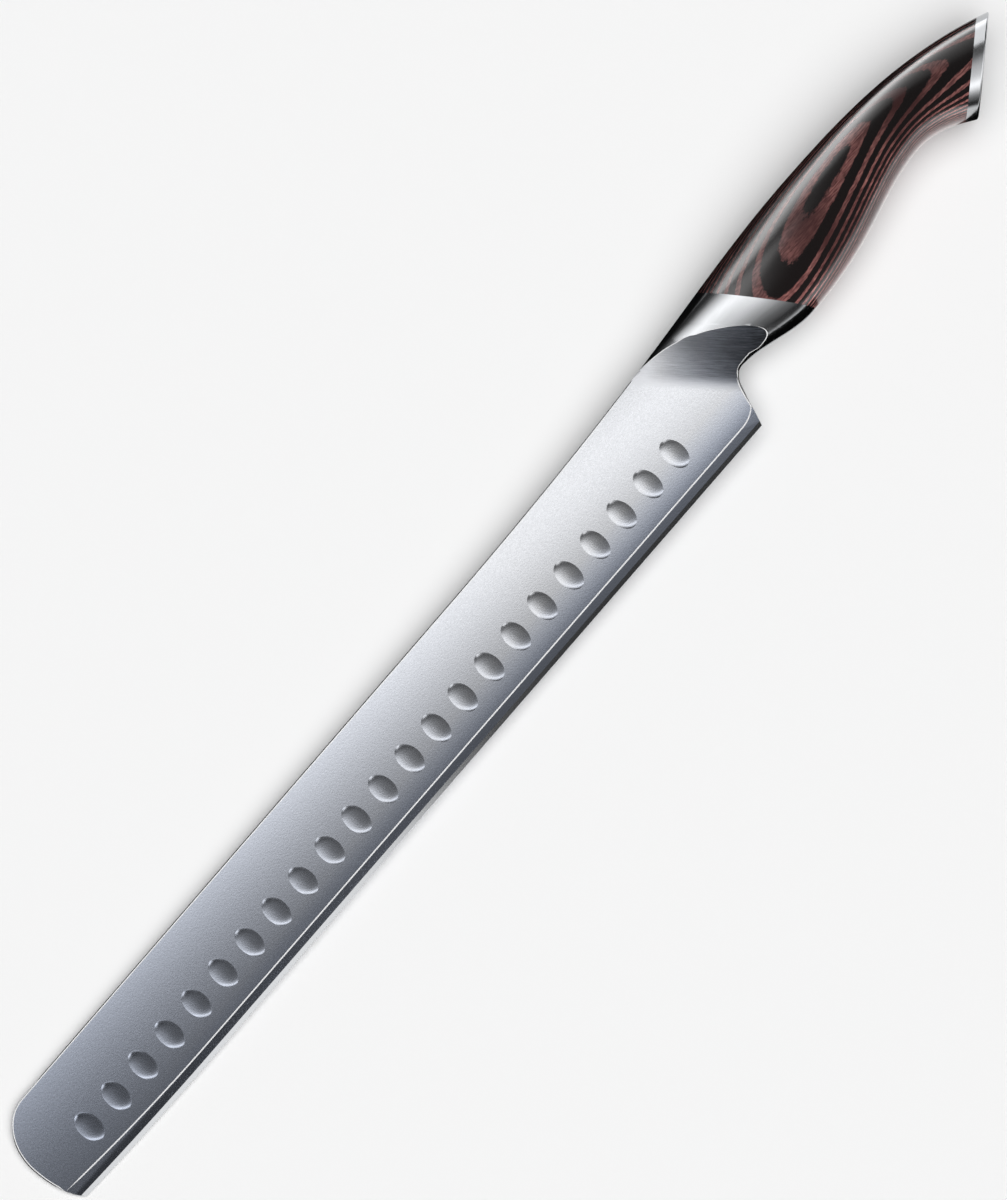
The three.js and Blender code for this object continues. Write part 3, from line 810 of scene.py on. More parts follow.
def blade_mesh(form):
    """The whole blade: two ground sides, joined round their outline."""
    bm = bmesh.new()
    number = bm.verts.layers.int.new("number")
    for side in (1, -1):
        add_blade_side(bm, form, side, number)
    open_edges = [edge for edge in bm.edges if edge.is_boundary and edge.verts[0].co.z > 0]
    verts, _, _ = draw_out(bm, open_edges)
    for vert in verts:
        vert.co.z = -vert.co.z
    bm.verts.layers.int.remove(number)
    return bm


class KNIFE_OT_blade(bpy.types.Operator):
    """Model the ground blade with its hollows and its hidden tang"""

    bl_idname = "knife.blade"
    bl_label = "Blade"

    def execute(self, context):
        form = KnifeForm(context.scene)
        bm = blade_mesh(form)
        close_up(bm)
        flat = Vector((0, -form.face_slope, 1)).normalized()
        for face in bm.faces:
            normal = Vector((face.normal.x, face.normal.y, abs(face.normal.z)))
            face.smooth = normal.angle(flat) > FLAT_WITHIN
        finishes = (satin_steel, honed_steel, polished_steel, painted_highlight_line, hollow_steel)
        materials = [made_of(context.scene) for made_of in finishes]
        finish_piece(context, bm, "blade", materials)
        return {"FINISHED"}


# Bolster


class BolsterRows:
    """Rows across the bolster: along the plunge grind to its nose, then on to the seam."""

    # The chamfer along the finger notch: how far it goes, where it doubles and where it runs out
    CHAMFER_REACH = 12 * MM
    CHAMFER_GROWTH = 6 * MM
    CHAMFER_END = 4 * MM
    CHAMFER_RUN = 5

    # Where the nose and the widest angle are looked for, as shares of the radius and of half a turn
    NOSE_FROM = 4 * MM
    NOSE_TO = 0.9
    ANGLE_FROM = 0.3
    ANGLE_SPAN = 0.6
    ANGLE_STEPS = 90

    # The lip's growth along the grind and its most, and how far the first row leads the grind
    LIP_GROWTH = 5
    LIP_MOST = 0.35
    LEAD = 0.6 * MM
    LEAD_POWER = 8

    def __init__(self, form):
        self.form = form
        self.nose = solve(lambda s: -self.clear(s), self.NOSE_FROM, form.handle.ramp_radius * self.NOSE_TO)
        self.nose_angle = self.widest(self.nose)

    def plane(self, reach):
        """The plane that lies reach behind the start of the plunge grind."""
        return self.form.ramp_point + self.form.ramp_normal * reach, self.form.ramp_normal

    def over(self, reach, angle):
        """How far the round section stands over the plunge grind."""
        place = self.outer(self.plane(reach), angle)
        return place.z - self.form.ramp(place.x, place.y)

    def outer(self, plane, angle):
        """A point of the polished surface, with the chamfer along the finger notch."""
        form = self.form
        place = form.on_plane(plane, angle)
        b = form.blade
        behind = max(0.0, place.x - b.choil_setback)
        if angle > math.pi / 2 and behind < self.CHAMFER_REACH:
            grown = 1 + behind / self.CHAMFER_GROWTH
            up = (place.y - form.under(place.x)) / (b.choil_break * grown)
            lift = max(0.0, behind - self.CHAMFER_END) / self.CHAMFER_RUN
            chamfer = form.ramp(place.x, place.y) + b.choil_drop * grown * (up - 1) + lift
            place.z = min(place.z, chamfer) if up < 1 else place.z
        return place

    def widest(self, reach):
        """The angle where the section stands furthest over the plunge grind."""
        parts = [i / self.ANGLE_STEPS for i in range(self.ANGLE_STEPS + 1)]
        angles = [math.pi * (self.ANGLE_FROM + self.ANGLE_SPAN * part) for part in parts]
        return max(angles, key=lambda angle: self.over(reach, angle))

    def clear(self, reach):
        """How far it stands over the plunge grind there."""
        return self.over(reach, self.widest(reach))

    def creases(self, reach):
        """Angles where the plunge grind meets the back part and the belly part."""
        middle = self.widest(reach)
        first = solve(lambda angle: self.over(reach, angle), 0.0, middle)
        second = solve(lambda angle: -self.over(reach, angle), middle, math.pi)
        return first, second

    def lip(self, part):
        """Share of the lip's height at a row: none where the grind leaves the spine."""
        return min(1.0, part * self.LIP_GROWTH)

    def lip_share(self, plane, crease, end):
        """The lip's part of the way from a crease to the back or the belly."""
        way = (self.outer(plane, crease) - self.outer(plane, end)).length
        return min(self.LIP_MOST, self.form.handle.lip_width / max(way, WELD))

    def row(self, part):
        """Plane and crease angles of a row: part 0 to 1 runs to the nose, 1 to 2 on to the seam."""
        if part < 1:
            lead = self.LEAD * (1 - part) ** self.LEAD_POWER
            reach = self.nose * math.sin(math.pi / 2 * part) - lead
            return (self.plane(reach), *self.creases(max(reach, 0.0)))
        rest = part - 1
        point, normal = self.plane(self.nose)
        seam_point, seam_normal = self.form.seam
        plane = (point.lerp(seam_point, rest), normal.lerp(seam_normal, rest).normalized())
        return plane, self.nose_angle, self.nose_angle


def bolster_mesh(form):
    """Polished cheeks with a plunge grind that runs down to the blade on both sides."""
    rows = BolsterRows(form)
    front, rear = 70, 24
    total = front + rear
    behind_nose = 1.06
    parts = [i / front for i in range(front + 1)]
    parts += [behind_nose + (2 - behind_nose) * i / (rear - 1) for i in range(rear)]
    table = [rows.row(part) for part in parts]
    bm = bmesh.new()
    upper_count, lower_count, ground_count = 27, 23, 38
    margin_width, margin_most = 0.06 * MM, 0.3
    for side in (1, -1):

        def flipped(place):
            return Vector((place.x, place.y, place.z * side))

        def crest(plane, angle, v):
            place = rows.outer(plane, angle)
            if v <= front:
                place.z += form.handle.lip_rise * rows.lip(v / front)
            return place

        def upper(u, v):
            row = round(v * total)
            column = round(u * upper_count)
            plane, first, _ = table[row]
            if column == upper_count:
                return flipped(crest(plane, first, row))
            share_of = (1 - rows.lip_share(plane, first, 0.0)) * column / (upper_count - 1)
            return flipped(rows.outer(plane, first * share_of))

        def lower(u, v):
            row = round(v * total)
            column = round(u * lower_count)
            plane, _, second = table[row]
            if column == 0:
                return flipped(crest(plane, second, row))
            start = rows.lip_share(plane, second, math.pi)
            share_of = start + (1 - start) * (column - 1) / (lower_count - 1)
            return flipped(rows.outer(plane, second + (math.pi - second) * share_of))

        def ground(u, v):
            row = round(v * front)
            column = round(u * ground_count)
            plane, first, second = table[row]
            a = crest(plane, first, row)
            b = crest(plane, second, row)
            if column in (0, ground_count):
                return flipped(a if column == 0 else b)
            margin = min(margin_most, margin_width / max((b - a).length, WELD))
            place = a.lerp(b, margin + (1 - 2 * margin) * (column - 1) / (ground_count - 2))
            place.z = form.ramp(place.x, place.y)
            return flipped(place)

        # LIP faces take the painted highlight round the plunge grind
        def upper_finish(u, v):
            return LIP if u * upper_count > upper_count - 1 and v * total < front else CHEEK

        def lower_finish(u, v):
            return LIP if u * lower_count < 1 and v * total < front else CHEEK

        patch(bm, upper, upper_count, total, upper_finish)
        patch(bm, lower, lower_count, total, lower_finish)
        patch(bm, ground, ground_count, front, lambda u, v: GROUND)
    close_up(bm)
    return bm


class KNIFE_OT_bolster(bpy.types.Operator):
    """Model the polished bolster with its slanted plunge grind"""

    bl_idname = "knife.bolster"
    bl_label = "Bolster"

    def execute(self, context):
        bm = bolster_mesh(KnifeForm(context.scene))
        sharpen(bm, BOLSTER_CREASE)
        materials = [made_of(context.scene) for made_of in (polished_steel, satin_steel, painted_highlight_line)]
        finish_piece(context, bm, "bolster", materials)
        return {"FINISHED"}


# Grip and end cap


def handle_blank(form, place_plane, rows):
    """A closed length of the handle's round body between two planes."""
    bm = bmesh.new()
    planes = [place_plane(i / rows) for i in range(rows + 1)]

    def place(u, v):
        return form.on_plane(planes[round(v * rows)], 2 * math.pi * u)

    patch(bm, place, HANDLE_SEGMENTS, rows)
    close_up(bm)
    return bm


class KNIFE_OT_grip(bpy.types.Operator):
    """Model both halves of the laminated grip"""

    bl_idname = "knife.grip"
    bl_label = "Grip"

    def execute(self, context):
        scene = context.scene
        form = KnifeForm(scene)
        depth = form.handle.cap_thickness
        gap = form.handle.glue_line / 2
        blank = handle_blank(form, lambda part: form.grip_plane(part, depth), form.handle.rows)
        for name, side in (("grip_left", 1), ("grip_right", -1)):
            bm = blank.copy()
            bmesh.ops.bisect_plane(
                bm,
                geom=[*bm.verts, *bm.edges, *bm.faces],
                plane_co=(0, 0, side * gap),
                plane_no=(0, 0, side),
                clear_inner=True,
            )
            close_up(bm)
            sharpen(bm, GRIP_CREASE)
            finish_piece(context, bm, name, [laminated_wood(scene)])
        blank.free()
        return {"FINISHED"}


class KNIFE_OT_end_cap(bpy.types.Operator):
    """Model the polished plate on the slanted butt"""

    bl_idname = "knife.end_cap"
    bl_label = "End Cap"

    def execute(self, context):
        form = KnifeForm(context.scene)
        thick = form.handle.cap_thickness
        bm = handle_blank(form, lambda part: form.butt(thick * (1 - part)), CAP_ROWS)
        rim = [edge for edge in bm.edges if self.on_rim(form, edge)]
        bmesh.ops.bevel(
            bm,
            geom=rim,
            offset=form.handle.cap_break,
            offset_type="OFFSET",
            affect="EDGES",
            segments=CAP_BREAK_SEGMENTS,
            profile=0.5,
            material=-1,
            clamp_overlap=True,
        )
        sharpen(bm, CAP_CREASE)
        finish_piece(context, bm, "end_cap", [polished_steel(context.scene)])
        return {"FINISHED"}

    def on_rim(self, form, edge):
        """Whether an edge lies in the plane of the butt."""
        point, normal = form.butt(0.0)
        return all(abs((vert.co.to_2d() - point).dot(normal)) < WELD for vert in edge.verts)


class KNIFE_OT_hidden(bpy.types.Operator):
    """Finish the adhesive and the pins inside the grip"""

    bl_idname = "knife.hidden"
    bl_label = "Hidden Pieces"

    def execute(self, context):
        finishes = {
            "adhesive_bed": cured_adhesive(context.scene),
            "tang_pin_front": drawn_steel(context.scene),
            "tang_pin_rear": drawn_steel(context.scene),
        }
        for name, material in finishes.items():
            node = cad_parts[name]
            node.data.materials.clear()
            node.data.materials.append(material)
        return {"FINISHED"}


# Materials


class Nodes:
    """A node tree, with short ways to add the nodes that the finishes and the backdrop use."""

    def __init__(self, tree):
        self.tree = tree

    def fill(self, socket, value):
        """Links a socket to another one, or sets it to a value."""
        if isinstance(value, bpy.types.NodeSocket):
            self.tree.links.new(value, socket)
        else:
            socket.default_value = value

    def add(self, kind, inputs, **settings):
        """A node with its settings, and its inputs linked to sockets or set to values."""
        node = self.tree.nodes.new(kind)
        for key, value in settings.items():
            setattr(node, key, value)
        for key, value in inputs.items():
            self.fill(node.inputs[key], value)
        return node

    def math(self, operation, *values):
        return self.add("ShaderNodeMath", dict(enumerate(values)), operation=operation).outputs[0]

    def axes(self, place):
        """A place's x, y and z."""
        return self.add("ShaderNodeSeparateXYZ", {0: place}).outputs

    def span(self, value, low, high, start=0.0, end=1.0, smooth=False):
        """A value's place between low and high, given as a number between start and end."""
        inputs = {0: value, 1: low, 2: high, 3: start, 4: end}
        kind = "SMOOTHSTEP" if smooth else "LINEAR"
        return self.add("ShaderNodeMapRange", inputs, interpolation_type=kind).outputs[0]


class Paint(Nodes):
    """A material, with short ways to add the nodes that only surfaces use."""

    def __init__(self, name, scene):
        self.material = bpy.data.materials.new(name)
        self.material.use_nodes = True
        super().__init__(self.material.node_tree)
        self.shader = self.tree.nodes["Principled BSDF"]
        self.scene = scene

    def shade(self, **inputs):
        """Sets the shader's sockets: values or links."""
        for key, value in inputs.items():
            self.fill(self.shader.inputs[key.replace("_", " ").title().replace("Ior", "IOR")], value)
        return self.material

    def spot(self):
        """The surface's place in the scene."""
        return self.add("ShaderNodeTexCoord", {}).outputs["Object"]

    def knife_place(self):
        """The surface's place in the knife's own frame."""
        lie = lie_matrix(self.scene)
        inputs = {"Vector": self.spot(), "Location": lie.to_translation(), "Rotation": lie.to_euler()}
        return self.add("ShaderNodeMapping", inputs, vector_type="TEXTURE").outputs[0]

    def stretched(self, place, scale, heading=0.0):
        """A place turned in the blade's plane and scaled along each axis."""
        inputs = {"Vector": place, "Rotation": (0, 0, heading)}
        turned = self.add("ShaderNodeMapping", inputs).outputs[0]
        return self.add("ShaderNodeMapping", {"Vector": turned, "Scale": scale}).outputs[0]

    def noise(self, place, scale=1.0, detail=2.0, roughness=0.5):
        inputs = {"Vector": place, "Scale": scale, "Detail": detail, "Roughness": roughness}
        return self.add("ShaderNodeTexNoise", inputs).outputs[0]

    def between(self, noise, start, end):
        """A noise's usual range, given as a number between start and end."""
        return self.span(noise, 0.3, 0.7, start, end)

    def mottled(self, tone, rgb, depth):
        """A colour that is darker, by a factor, where the tone is low."""
        return self.blend(tone, opaque(c * depth for c in rgb), opaque(rgb))

    def blend(self, share_of, first, second):
        """A colour between two others."""
        node = self.tree.nodes.new("ShaderNodeMix")
        node.data_type = "RGBA"
        sockets = {"Factor_Float": share_of, "A_Color": first, "B_Color": second}
        for socket in node.inputs:
            if socket.identifier in sockets:
                self.fill(socket, sockets[socket.identifier])
        return next(socket for socket in node.outputs if socket.identifier == "Result_Color")

    def bump(self, height, distance, strength=1.0, normal=None):
        inputs = {"Height": height, "Distance": distance, "Strength": strength}
        if normal is not None:
            inputs["Normal"] = normal
        return self.add("ShaderNodeBump", inputs).outputs[0]


def opaque(rgb):
    return (*rgb, 1.0)


def finish(recipe):
    """A material named for its recipe, made once and then shared."""

    def material(scene):
        name = "knife_" + recipe.__name__
        return bpy.data.materials.get(name) or recipe(Paint(name, scene))

    return material


# Ground steel. The plunge grind blends in and is brushed; light and shade are painted into its colour,
# brighter near its start and darker along its length
GRIND_BLEND = 3 * MM
GRIND_PAINTED_LIGHT_FALLS = ((1.68, 16.2 * MM), (3.1, 11 * MM))
GRIND_PAINTED_LIGHT_MOST = 1.25
BRUSH_DEPTH = 0.06 * MM
BRUSH_TONE = 0.45
BRUSH_ROUGH = 0.17
SPECKLE_DEPTH = 0.025 * MM
BUFF_DEPTH = 0.0015 * MM

# The faces' crown, its roll above the bevel, which fades towards the tip, and the bevel's turn
CROWN_MIDDLE = 27 * MM
CROWN = -3.6
ROLL_TOP = 15 * MM
BEVEL_TOP = 4 * MM
ROLL_ENDS = (-310 * MM, -190 * MM)
ROLL = -22000.0
BEVEL_TURN = 0.06

# Where a bluish painted shade tints the tone, along the blade and across it, and where the bevel gets
# smoother
PAINTED_SHADE_ALONG = (-80 * MM, -290 * MM)
PAINTED_SHADE_ACROSS = (14 * MM, 5 * MM)
SMOOTHER = (3.4 * MM, 4.4 * MM)


def crown_height(paint, axes, scoop):
    """Height that a bump adds to the flat faces, so that they reflect as crowned ones do."""
    middle = paint.math("SUBTRACT", axes[1], CROWN_MIDDLE)
    crown = paint.math("MULTIPLY", paint.math("MULTIPLY", middle, middle), CROWN)
    low = paint.math("SUBTRACT", ROLL_TOP, paint.math("MAXIMUM", axes[1], BEVEL_TOP))
    low = paint.math("MAXIMUM", low, 0.0)
    roll = paint.span(axes[0], *ROLL_ENDS, 0.0, ROLL)
    crown = paint.math("MULTIPLY_ADD", paint.math("POWER", low, 4.0), roll, crown)
    bevel = paint.math("SUBTRACT", paint.math("MINIMUM", axes[1], BEVEL_TOP), BEVEL_TOP)
    crown = paint.math("MULTIPLY_ADD", bevel, BEVEL_TURN, crown)
    return paint.math("MULTIPLY_ADD", axes[0], scoop, crown)


def ground_steel(paint, scoop=0.0):
    """Steel with a speckled grain on crowned faces, brushed on the plunge grind, with painted light and
    shade along the grind and a bluish painted shade towards the tip and the edge.
    """
    colours = paint.scene.knife_finish
    form = KnifeForm(paint.scene)
    place = paint.knife_place()
    axes = paint.axes(place)

    def run(heading):
        offset = form.ramp_point.dot(heading)
        across = paint.math("MULTIPLY_ADD", axes[1], heading.y, -offset)
        return paint.math("MULTIPLY_ADD", axes[0], heading.x, across)

    near = paint.span(run(form.ramp_normal), -GRIND_BLEND, GRIND_BLEND, smooth=True)
    # Painted light and shade along the plunge grind: a colour factor that is above 1 near its start and
    # falls off along it
    painted_light_falls = []
    for level, reach in GRIND_PAINTED_LIGHT_FALLS:
        painted_light_factor = paint.math("EXPONENT", paint.math("DIVIDE", run(form.ramp_along), -reach))
        painted_light_falls.append(paint.math("MULTIPLY", painted_light_factor, level))
    painted_light_factor = paint.math("MINIMUM", paint.math("MINIMUM", *painted_light_falls), GRIND_PAINTED_LIGHT_MOST)
    speckle = paint.noise(paint.stretched(place, (1800, 2600, 400)), detail=3.0, roughness=0.6)
    lines = paint.stretched(place, (200, 2800, 200), form.handle.ramp_angle)
    brushed = paint.noise(lines, detail=3.0, roughness=0.7)
    crowned = paint.bump(crown_height(paint, axes, scoop), 1.0)
    rubbed = paint.bump(paint.math("MULTIPLY", brushed, near), BRUSH_DEPTH, normal=crowned)
    worn = paint.bump(speckle, SPECKLE_DEPTH, normal=rubbed)
    # shade is the painted light and shade factor, faded in over the plunge grind; the brush streaks are
    # added to it
    shade = paint.math("MULTIPLY_ADD", paint.math("SUBTRACT", painted_light_factor, 1.0), near, 1.0)
    streak = paint.math("SUBTRACT", brushed, 0.5)
    streaks_and_painted_shade = paint.math("MULTIPLY_ADD", streak, paint.math("MULTIPLY", near, BRUSH_TONE), shade)
    # Bluish painted shade: towards the tip, towards the edge, and where the grind's painted shade darkens it
    along = paint.span(axes[0], *PAINTED_SHADE_ALONG)
    towards = paint.math("MAXIMUM", along, paint.span(axes[1], *PAINTED_SHADE_ACROSS))
    towards = paint.math("MAXIMUM", towards, paint.math("SUBTRACT", 1.0, shade))
    tone = paint.blend(towards, opaque(colours.satin), opaque(colours.painted_shade_tint))
    tint = paint.add("ShaderNodeVectorMath", {0: tone, "Scale": streaks_and_painted_shade}, operation="SCALE").outputs[0]
    rough = paint.math("MULTIPLY_ADD", near, BRUSH_ROUGH, paint.between(speckle, 0.24, 0.32))
    rough = paint.math("MULTIPLY", rough, paint.span(axes[1], *SMOOTHER, 0.5, 1.0))
    return paint.shade(base_color=tint, metallic=1.0, roughness=rough, normal=worn)


@finish
def satin_steel(paint):
    """The ground faces."""
    return ground_steel(paint)


@finish
def hollow_steel(paint):
    """The hollows, which look as if ground in from the butt's side."""
    return ground_steel(paint, paint.scene.knife_finish.scoop)


@finish
def painted_highlight_line(paint):
    """A painted highlight: a line painted white, which shows white from all sides."""
    tone = paint.noise(paint.knife_place(), 400.0)
    tint = paint.mottled(tone, paint.scene.knife_finish.bright, 0.96)
    return paint.shade(base_color=tint, roughness=0.4)


@finish
def honed_steel(paint):
    """The honed cutting bevel, turned further down than the bevel above it."""
    colours = paint.scene.knife_finish
    place = paint.knife_place()
    lines = paint.noise(paint.stretched(place, (2400, 120, 120)))
    turned = paint.bump(paint.math("MULTIPLY", paint.axes(place)[1], colours.hone), 1.0)
    scored = paint.bump(lines, BUFF_DEPTH, normal=turned)
    tint = paint.mottled(lines, colours.polished, 0.9)
    return paint.shade(base_color=tint, metallic=1.0, roughness=0.2, normal=scored)


@finish
def polished_steel(paint):
    """Mirror-polished steel with the faintest buffing haze."""
    place = paint.knife_place()
    haze = paint.noise(paint.stretched(place, (90, 900, 900)))
    rough = paint.between(haze, 0.14, 0.19)
    buffed = paint.bump(haze, BUFF_DEPTH)
    tint = paint.mottled(paint.noise(place, 60.0), paint.scene.knife_finish.polished, 0.96)
    return paint.shade(base_color=tint, metallic=1.0, roughness=rough, normal=buffed)


# Laminated wood. The layers lean along the grip, skew across it and bend past the eye
EYE_X = 65 * MM
EYE_Y = 30.5 * MM
LEAN = 0.028
SKEW = 0.13
SKEW_GROWTH = 5.2
SKEW_END = 85 * MM
EYE_BEND = -0.33
REAR_BEND = 1.65
REAR_START = 80 * MM
WANDER = 0.30 * MM
GRAIN = 0.16 * MM


def layer_height(paint, axes):
    """Height of a place across the stack of layers."""
    past_eye = paint.math("SUBTRACT", axes[0], EYE_X)
    skew = paint.math("SUBTRACT", paint.math("MINIMUM", axes[0], SKEW_END), EYE_X)
    skew = paint.math("MULTIPLY_ADD", skew, SKEW_GROWTH, SKEW)
    behind = paint.math("MAXIMUM", paint.math("SUBTRACT", axes[0], REAR_START), 0.0)
    height = paint.math("MULTIPLY_ADD", axes[0], -LEAN, axes[2])
    height = paint.math("MULTIPLY_ADD", paint.math("SUBTRACT", axes[1], EYE_Y), skew, height)
    height = paint.math("MULTIPLY_ADD", paint.math("MULTIPLY", past_eye, past_eye), EYE_BEND, height)
    return paint.math("MULTIPLY_ADD", paint.math("MULTIPLY", behind, behind), REAR_BEND, height)


@finish
def laminated_wood(paint):
    """Black and dark red layers, cut through by the grip's round surface, under a clear gloss."""
    colours = paint.scene.knife_finish
    place = paint.knife_place()
    wander = paint.noise(paint.stretched(place, (28, 45, 30)))
    fine = paint.noise(paint.stretched(place, (260, 700, 500)), detail=4.0, roughness=0.65)
    fuzz = paint.noise(paint.stretched(place, (1100, 2600, 2600)), detail=3.0, roughness=0.7)
    fibres = paint.noise(paint.stretched(place, (360, 2800, 2800)), detail=3.0, roughness=0.65)
    shifted = layer_height(paint, paint.axes(place))
    for noise, depth in ((wander, WANDER), (fine, GRAIN), (fuzz, GRAIN)):
        shifted = paint.math("MULTIPLY_ADD", noise, depth, shifted)
    at_eye = LEAN * EYE_X - (WANDER + GRAIN + GRAIN) / 2
    start = colours.layer_start - colours.layer_pitch / 2 - at_eye
    layers = paint.math("DIVIDE", paint.math("SUBTRACT", shifted, start), colours.layer_pitch)
    within = paint.math("FRACT", layers)
    middle = paint.math("ABSOLUTE", paint.math("SUBTRACT", within, 0.5))
    red = paint.span(middle, 0.15, 0.21, 1.0, 0.0, smooth=True)
    streaks = paint.span(fibres, 0.40, 0.66)
    red_tone = paint.blend(streaks, opaque(colours.red_layer), opaque(colours.pale_layer))
    dark_red = opaque(c * 0.55 for c in colours.red_layer)
    red_tone = paint.blend(paint.span(wander, 0.35, 0.6), dark_red, red_tone)
    return paint.shade(
        base_color=paint.blend(red, opaque(colours.dark_layer), red_tone),
        roughness=paint.between(fibres, 0.30, 0.42),
        normal=paint.bump(fibres, 0.01 * MM, strength=0.5),
        coat_weight=1.0,
        coat_roughness=0.2,
        coat_ior=1.5,
        specular_ior_level=0.0,
    )


@finish
def cured_adhesive(paint):
    """Amber adhesive, cloudy with tiny bubbles."""
    cloud = paint.noise(paint.knife_place(), 300.0, detail=4.0)
    tint = paint.mottled(cloud, paint.scene.knife_finish.adhesive, 0.7)
    return paint.shade(base_color=tint, roughness=0.5, normal=paint.bump(cloud, 0.05 * MM))


@finish
def drawn_steel(paint):
    """Plain drawn steel with lines along the pin."""
    lines = paint.noise(paint.stretched(paint.knife_place(), (3000, 3000, 80)))
    tint = paint.mottled(lines, paint.scene.knife_finish.drawn, 0.85)
    return paint.shade(base_color=tint, metallic=1.0, roughness=paint.between(lines, 0.35, 0.5))


@finish
def pale_floor(paint):
    """Plain pale paper."""
    tint = opaque(paint.scene.knife_stage.floor)
    return paint.shade(base_color=tint, roughness=0.9, specular_ior_level=0.0)


# Stage

FLOOR_DROP = 0.05 * MM
ABOVE_FLOOR = 0.3 * MM
FLOOR_SIDES = 96
CEILING = 0.028
CEILING_AHEAD = 0.06
BACKDROP = 0.93
FILL = 1.85
FLOOR_FILL = 1.2
FILL_SPREAD = math.radians(90)
FILL_TILT = math.radians(12)
FLAG_BLACK = (0.01, 0.01, 0.01)
FAR = 100

# Objects that a light reaches
RECEIVERS = {
    "wood": ("grip_left_piece", "grip_right_piece"),
    "steel": ("blade_piece", "bolster_piece", "end_cap_piece"),
    "cap": ("end_cap_piece",),
    "floor": ("floor",),
}

# Place, aim, width and height, level, what it lights, and which rays don't see it
SOFTBOXES = {
    "butt": ((0.56, 0.50, 0.14), (0.2, 0.01, 0.015), (0.30, 0.12), 7.0, "wood", "diffuse"),
    "front": ((-0.10, 0.24, 0.80), (0.12, 0.0, 0.02), (0.35, 0.35), 3.5, "wood", "diffuse"),
    "palm": ((0.26, -0.60, 0.05), (0.20, -0.01, 0.015), (0.40, 0.30), 14.0, "wood", "glossy"),
    "cap": ((0.34, 0.42, 0.27), (0.21, -0.005, 0.012), (0.50, 0.55), 1.25, "cap", "camera"),
    "edge": ((-0.16, -0.35, 0.22), (-0.20, -0.02, 0), (0.23, 0.16), 1.4, "steel", "diffuse"),
}

# Foot of each dark card on the floor, from start to end, and the way it leans up from there
FLAGS = {
    "tip": ((-0.2235, -0.012), (-0.2205, 0.012), (-0.006, 0, 0.008)),
    "spine": ((-0.20, 0.0185), (0.075, 0.0205), (0, 0.006, 0.010)),
    "bolster_back": ((0.075, 0.0215), (0.123, 0.0215), (0, 0.008, 0.019)),
    "grip_back": ((0.123, 0.0225), (0.225, 0.0225), (0, 0.006, 0.0165)),
    "bolster_belly": ((0.088, -0.010), (0.1235, -0.0155), (0, -0.008, 0.018)),
    "cap_belly": ((0.19, -0.006), (0.213, -0.006), (0, -0.014, 0.018)),
    "heel": ((-0.04, -0.0235), (0.088, -0.0235), (0, -0.008, 0.010)),
}

# Degrees off the vertical and brightness there, along the overhead softbox
CARD_LEVELS = (
    (-38, 0.04), (-22, 0.16), (-12, 0.34), (-4.7, 0.64), (0, 0.92), (9.5, 1.90),
    (13.5, 1.90), (19, 1.12), (24, 0.78), (29, 0.36), (33, 0.09), (41, 0.02),
)

# Metres from its middle and brightness there, across the strip behind the grip's back
BACK_LEVELS = (
    (-0.07, 0.3), (-0.05, 10.8), (0.06, 10.8), (0.10, 7.0), (0.16, 4.2), (0.24, 2.4),
    (0.36, 1.2), (0.5, 0.7), (0.75, 0.3),
)

# Metres along the knife and brightness there, on the cards by the grip's belly
PALM_LEVELS = ((0.03, 3.6), (0.22, 1.8))
BELLY_LEVELS = ((0.03, 1.2), (0.22, 0.6))
ALONG_KNIFE = Vector((1, 0, 0))


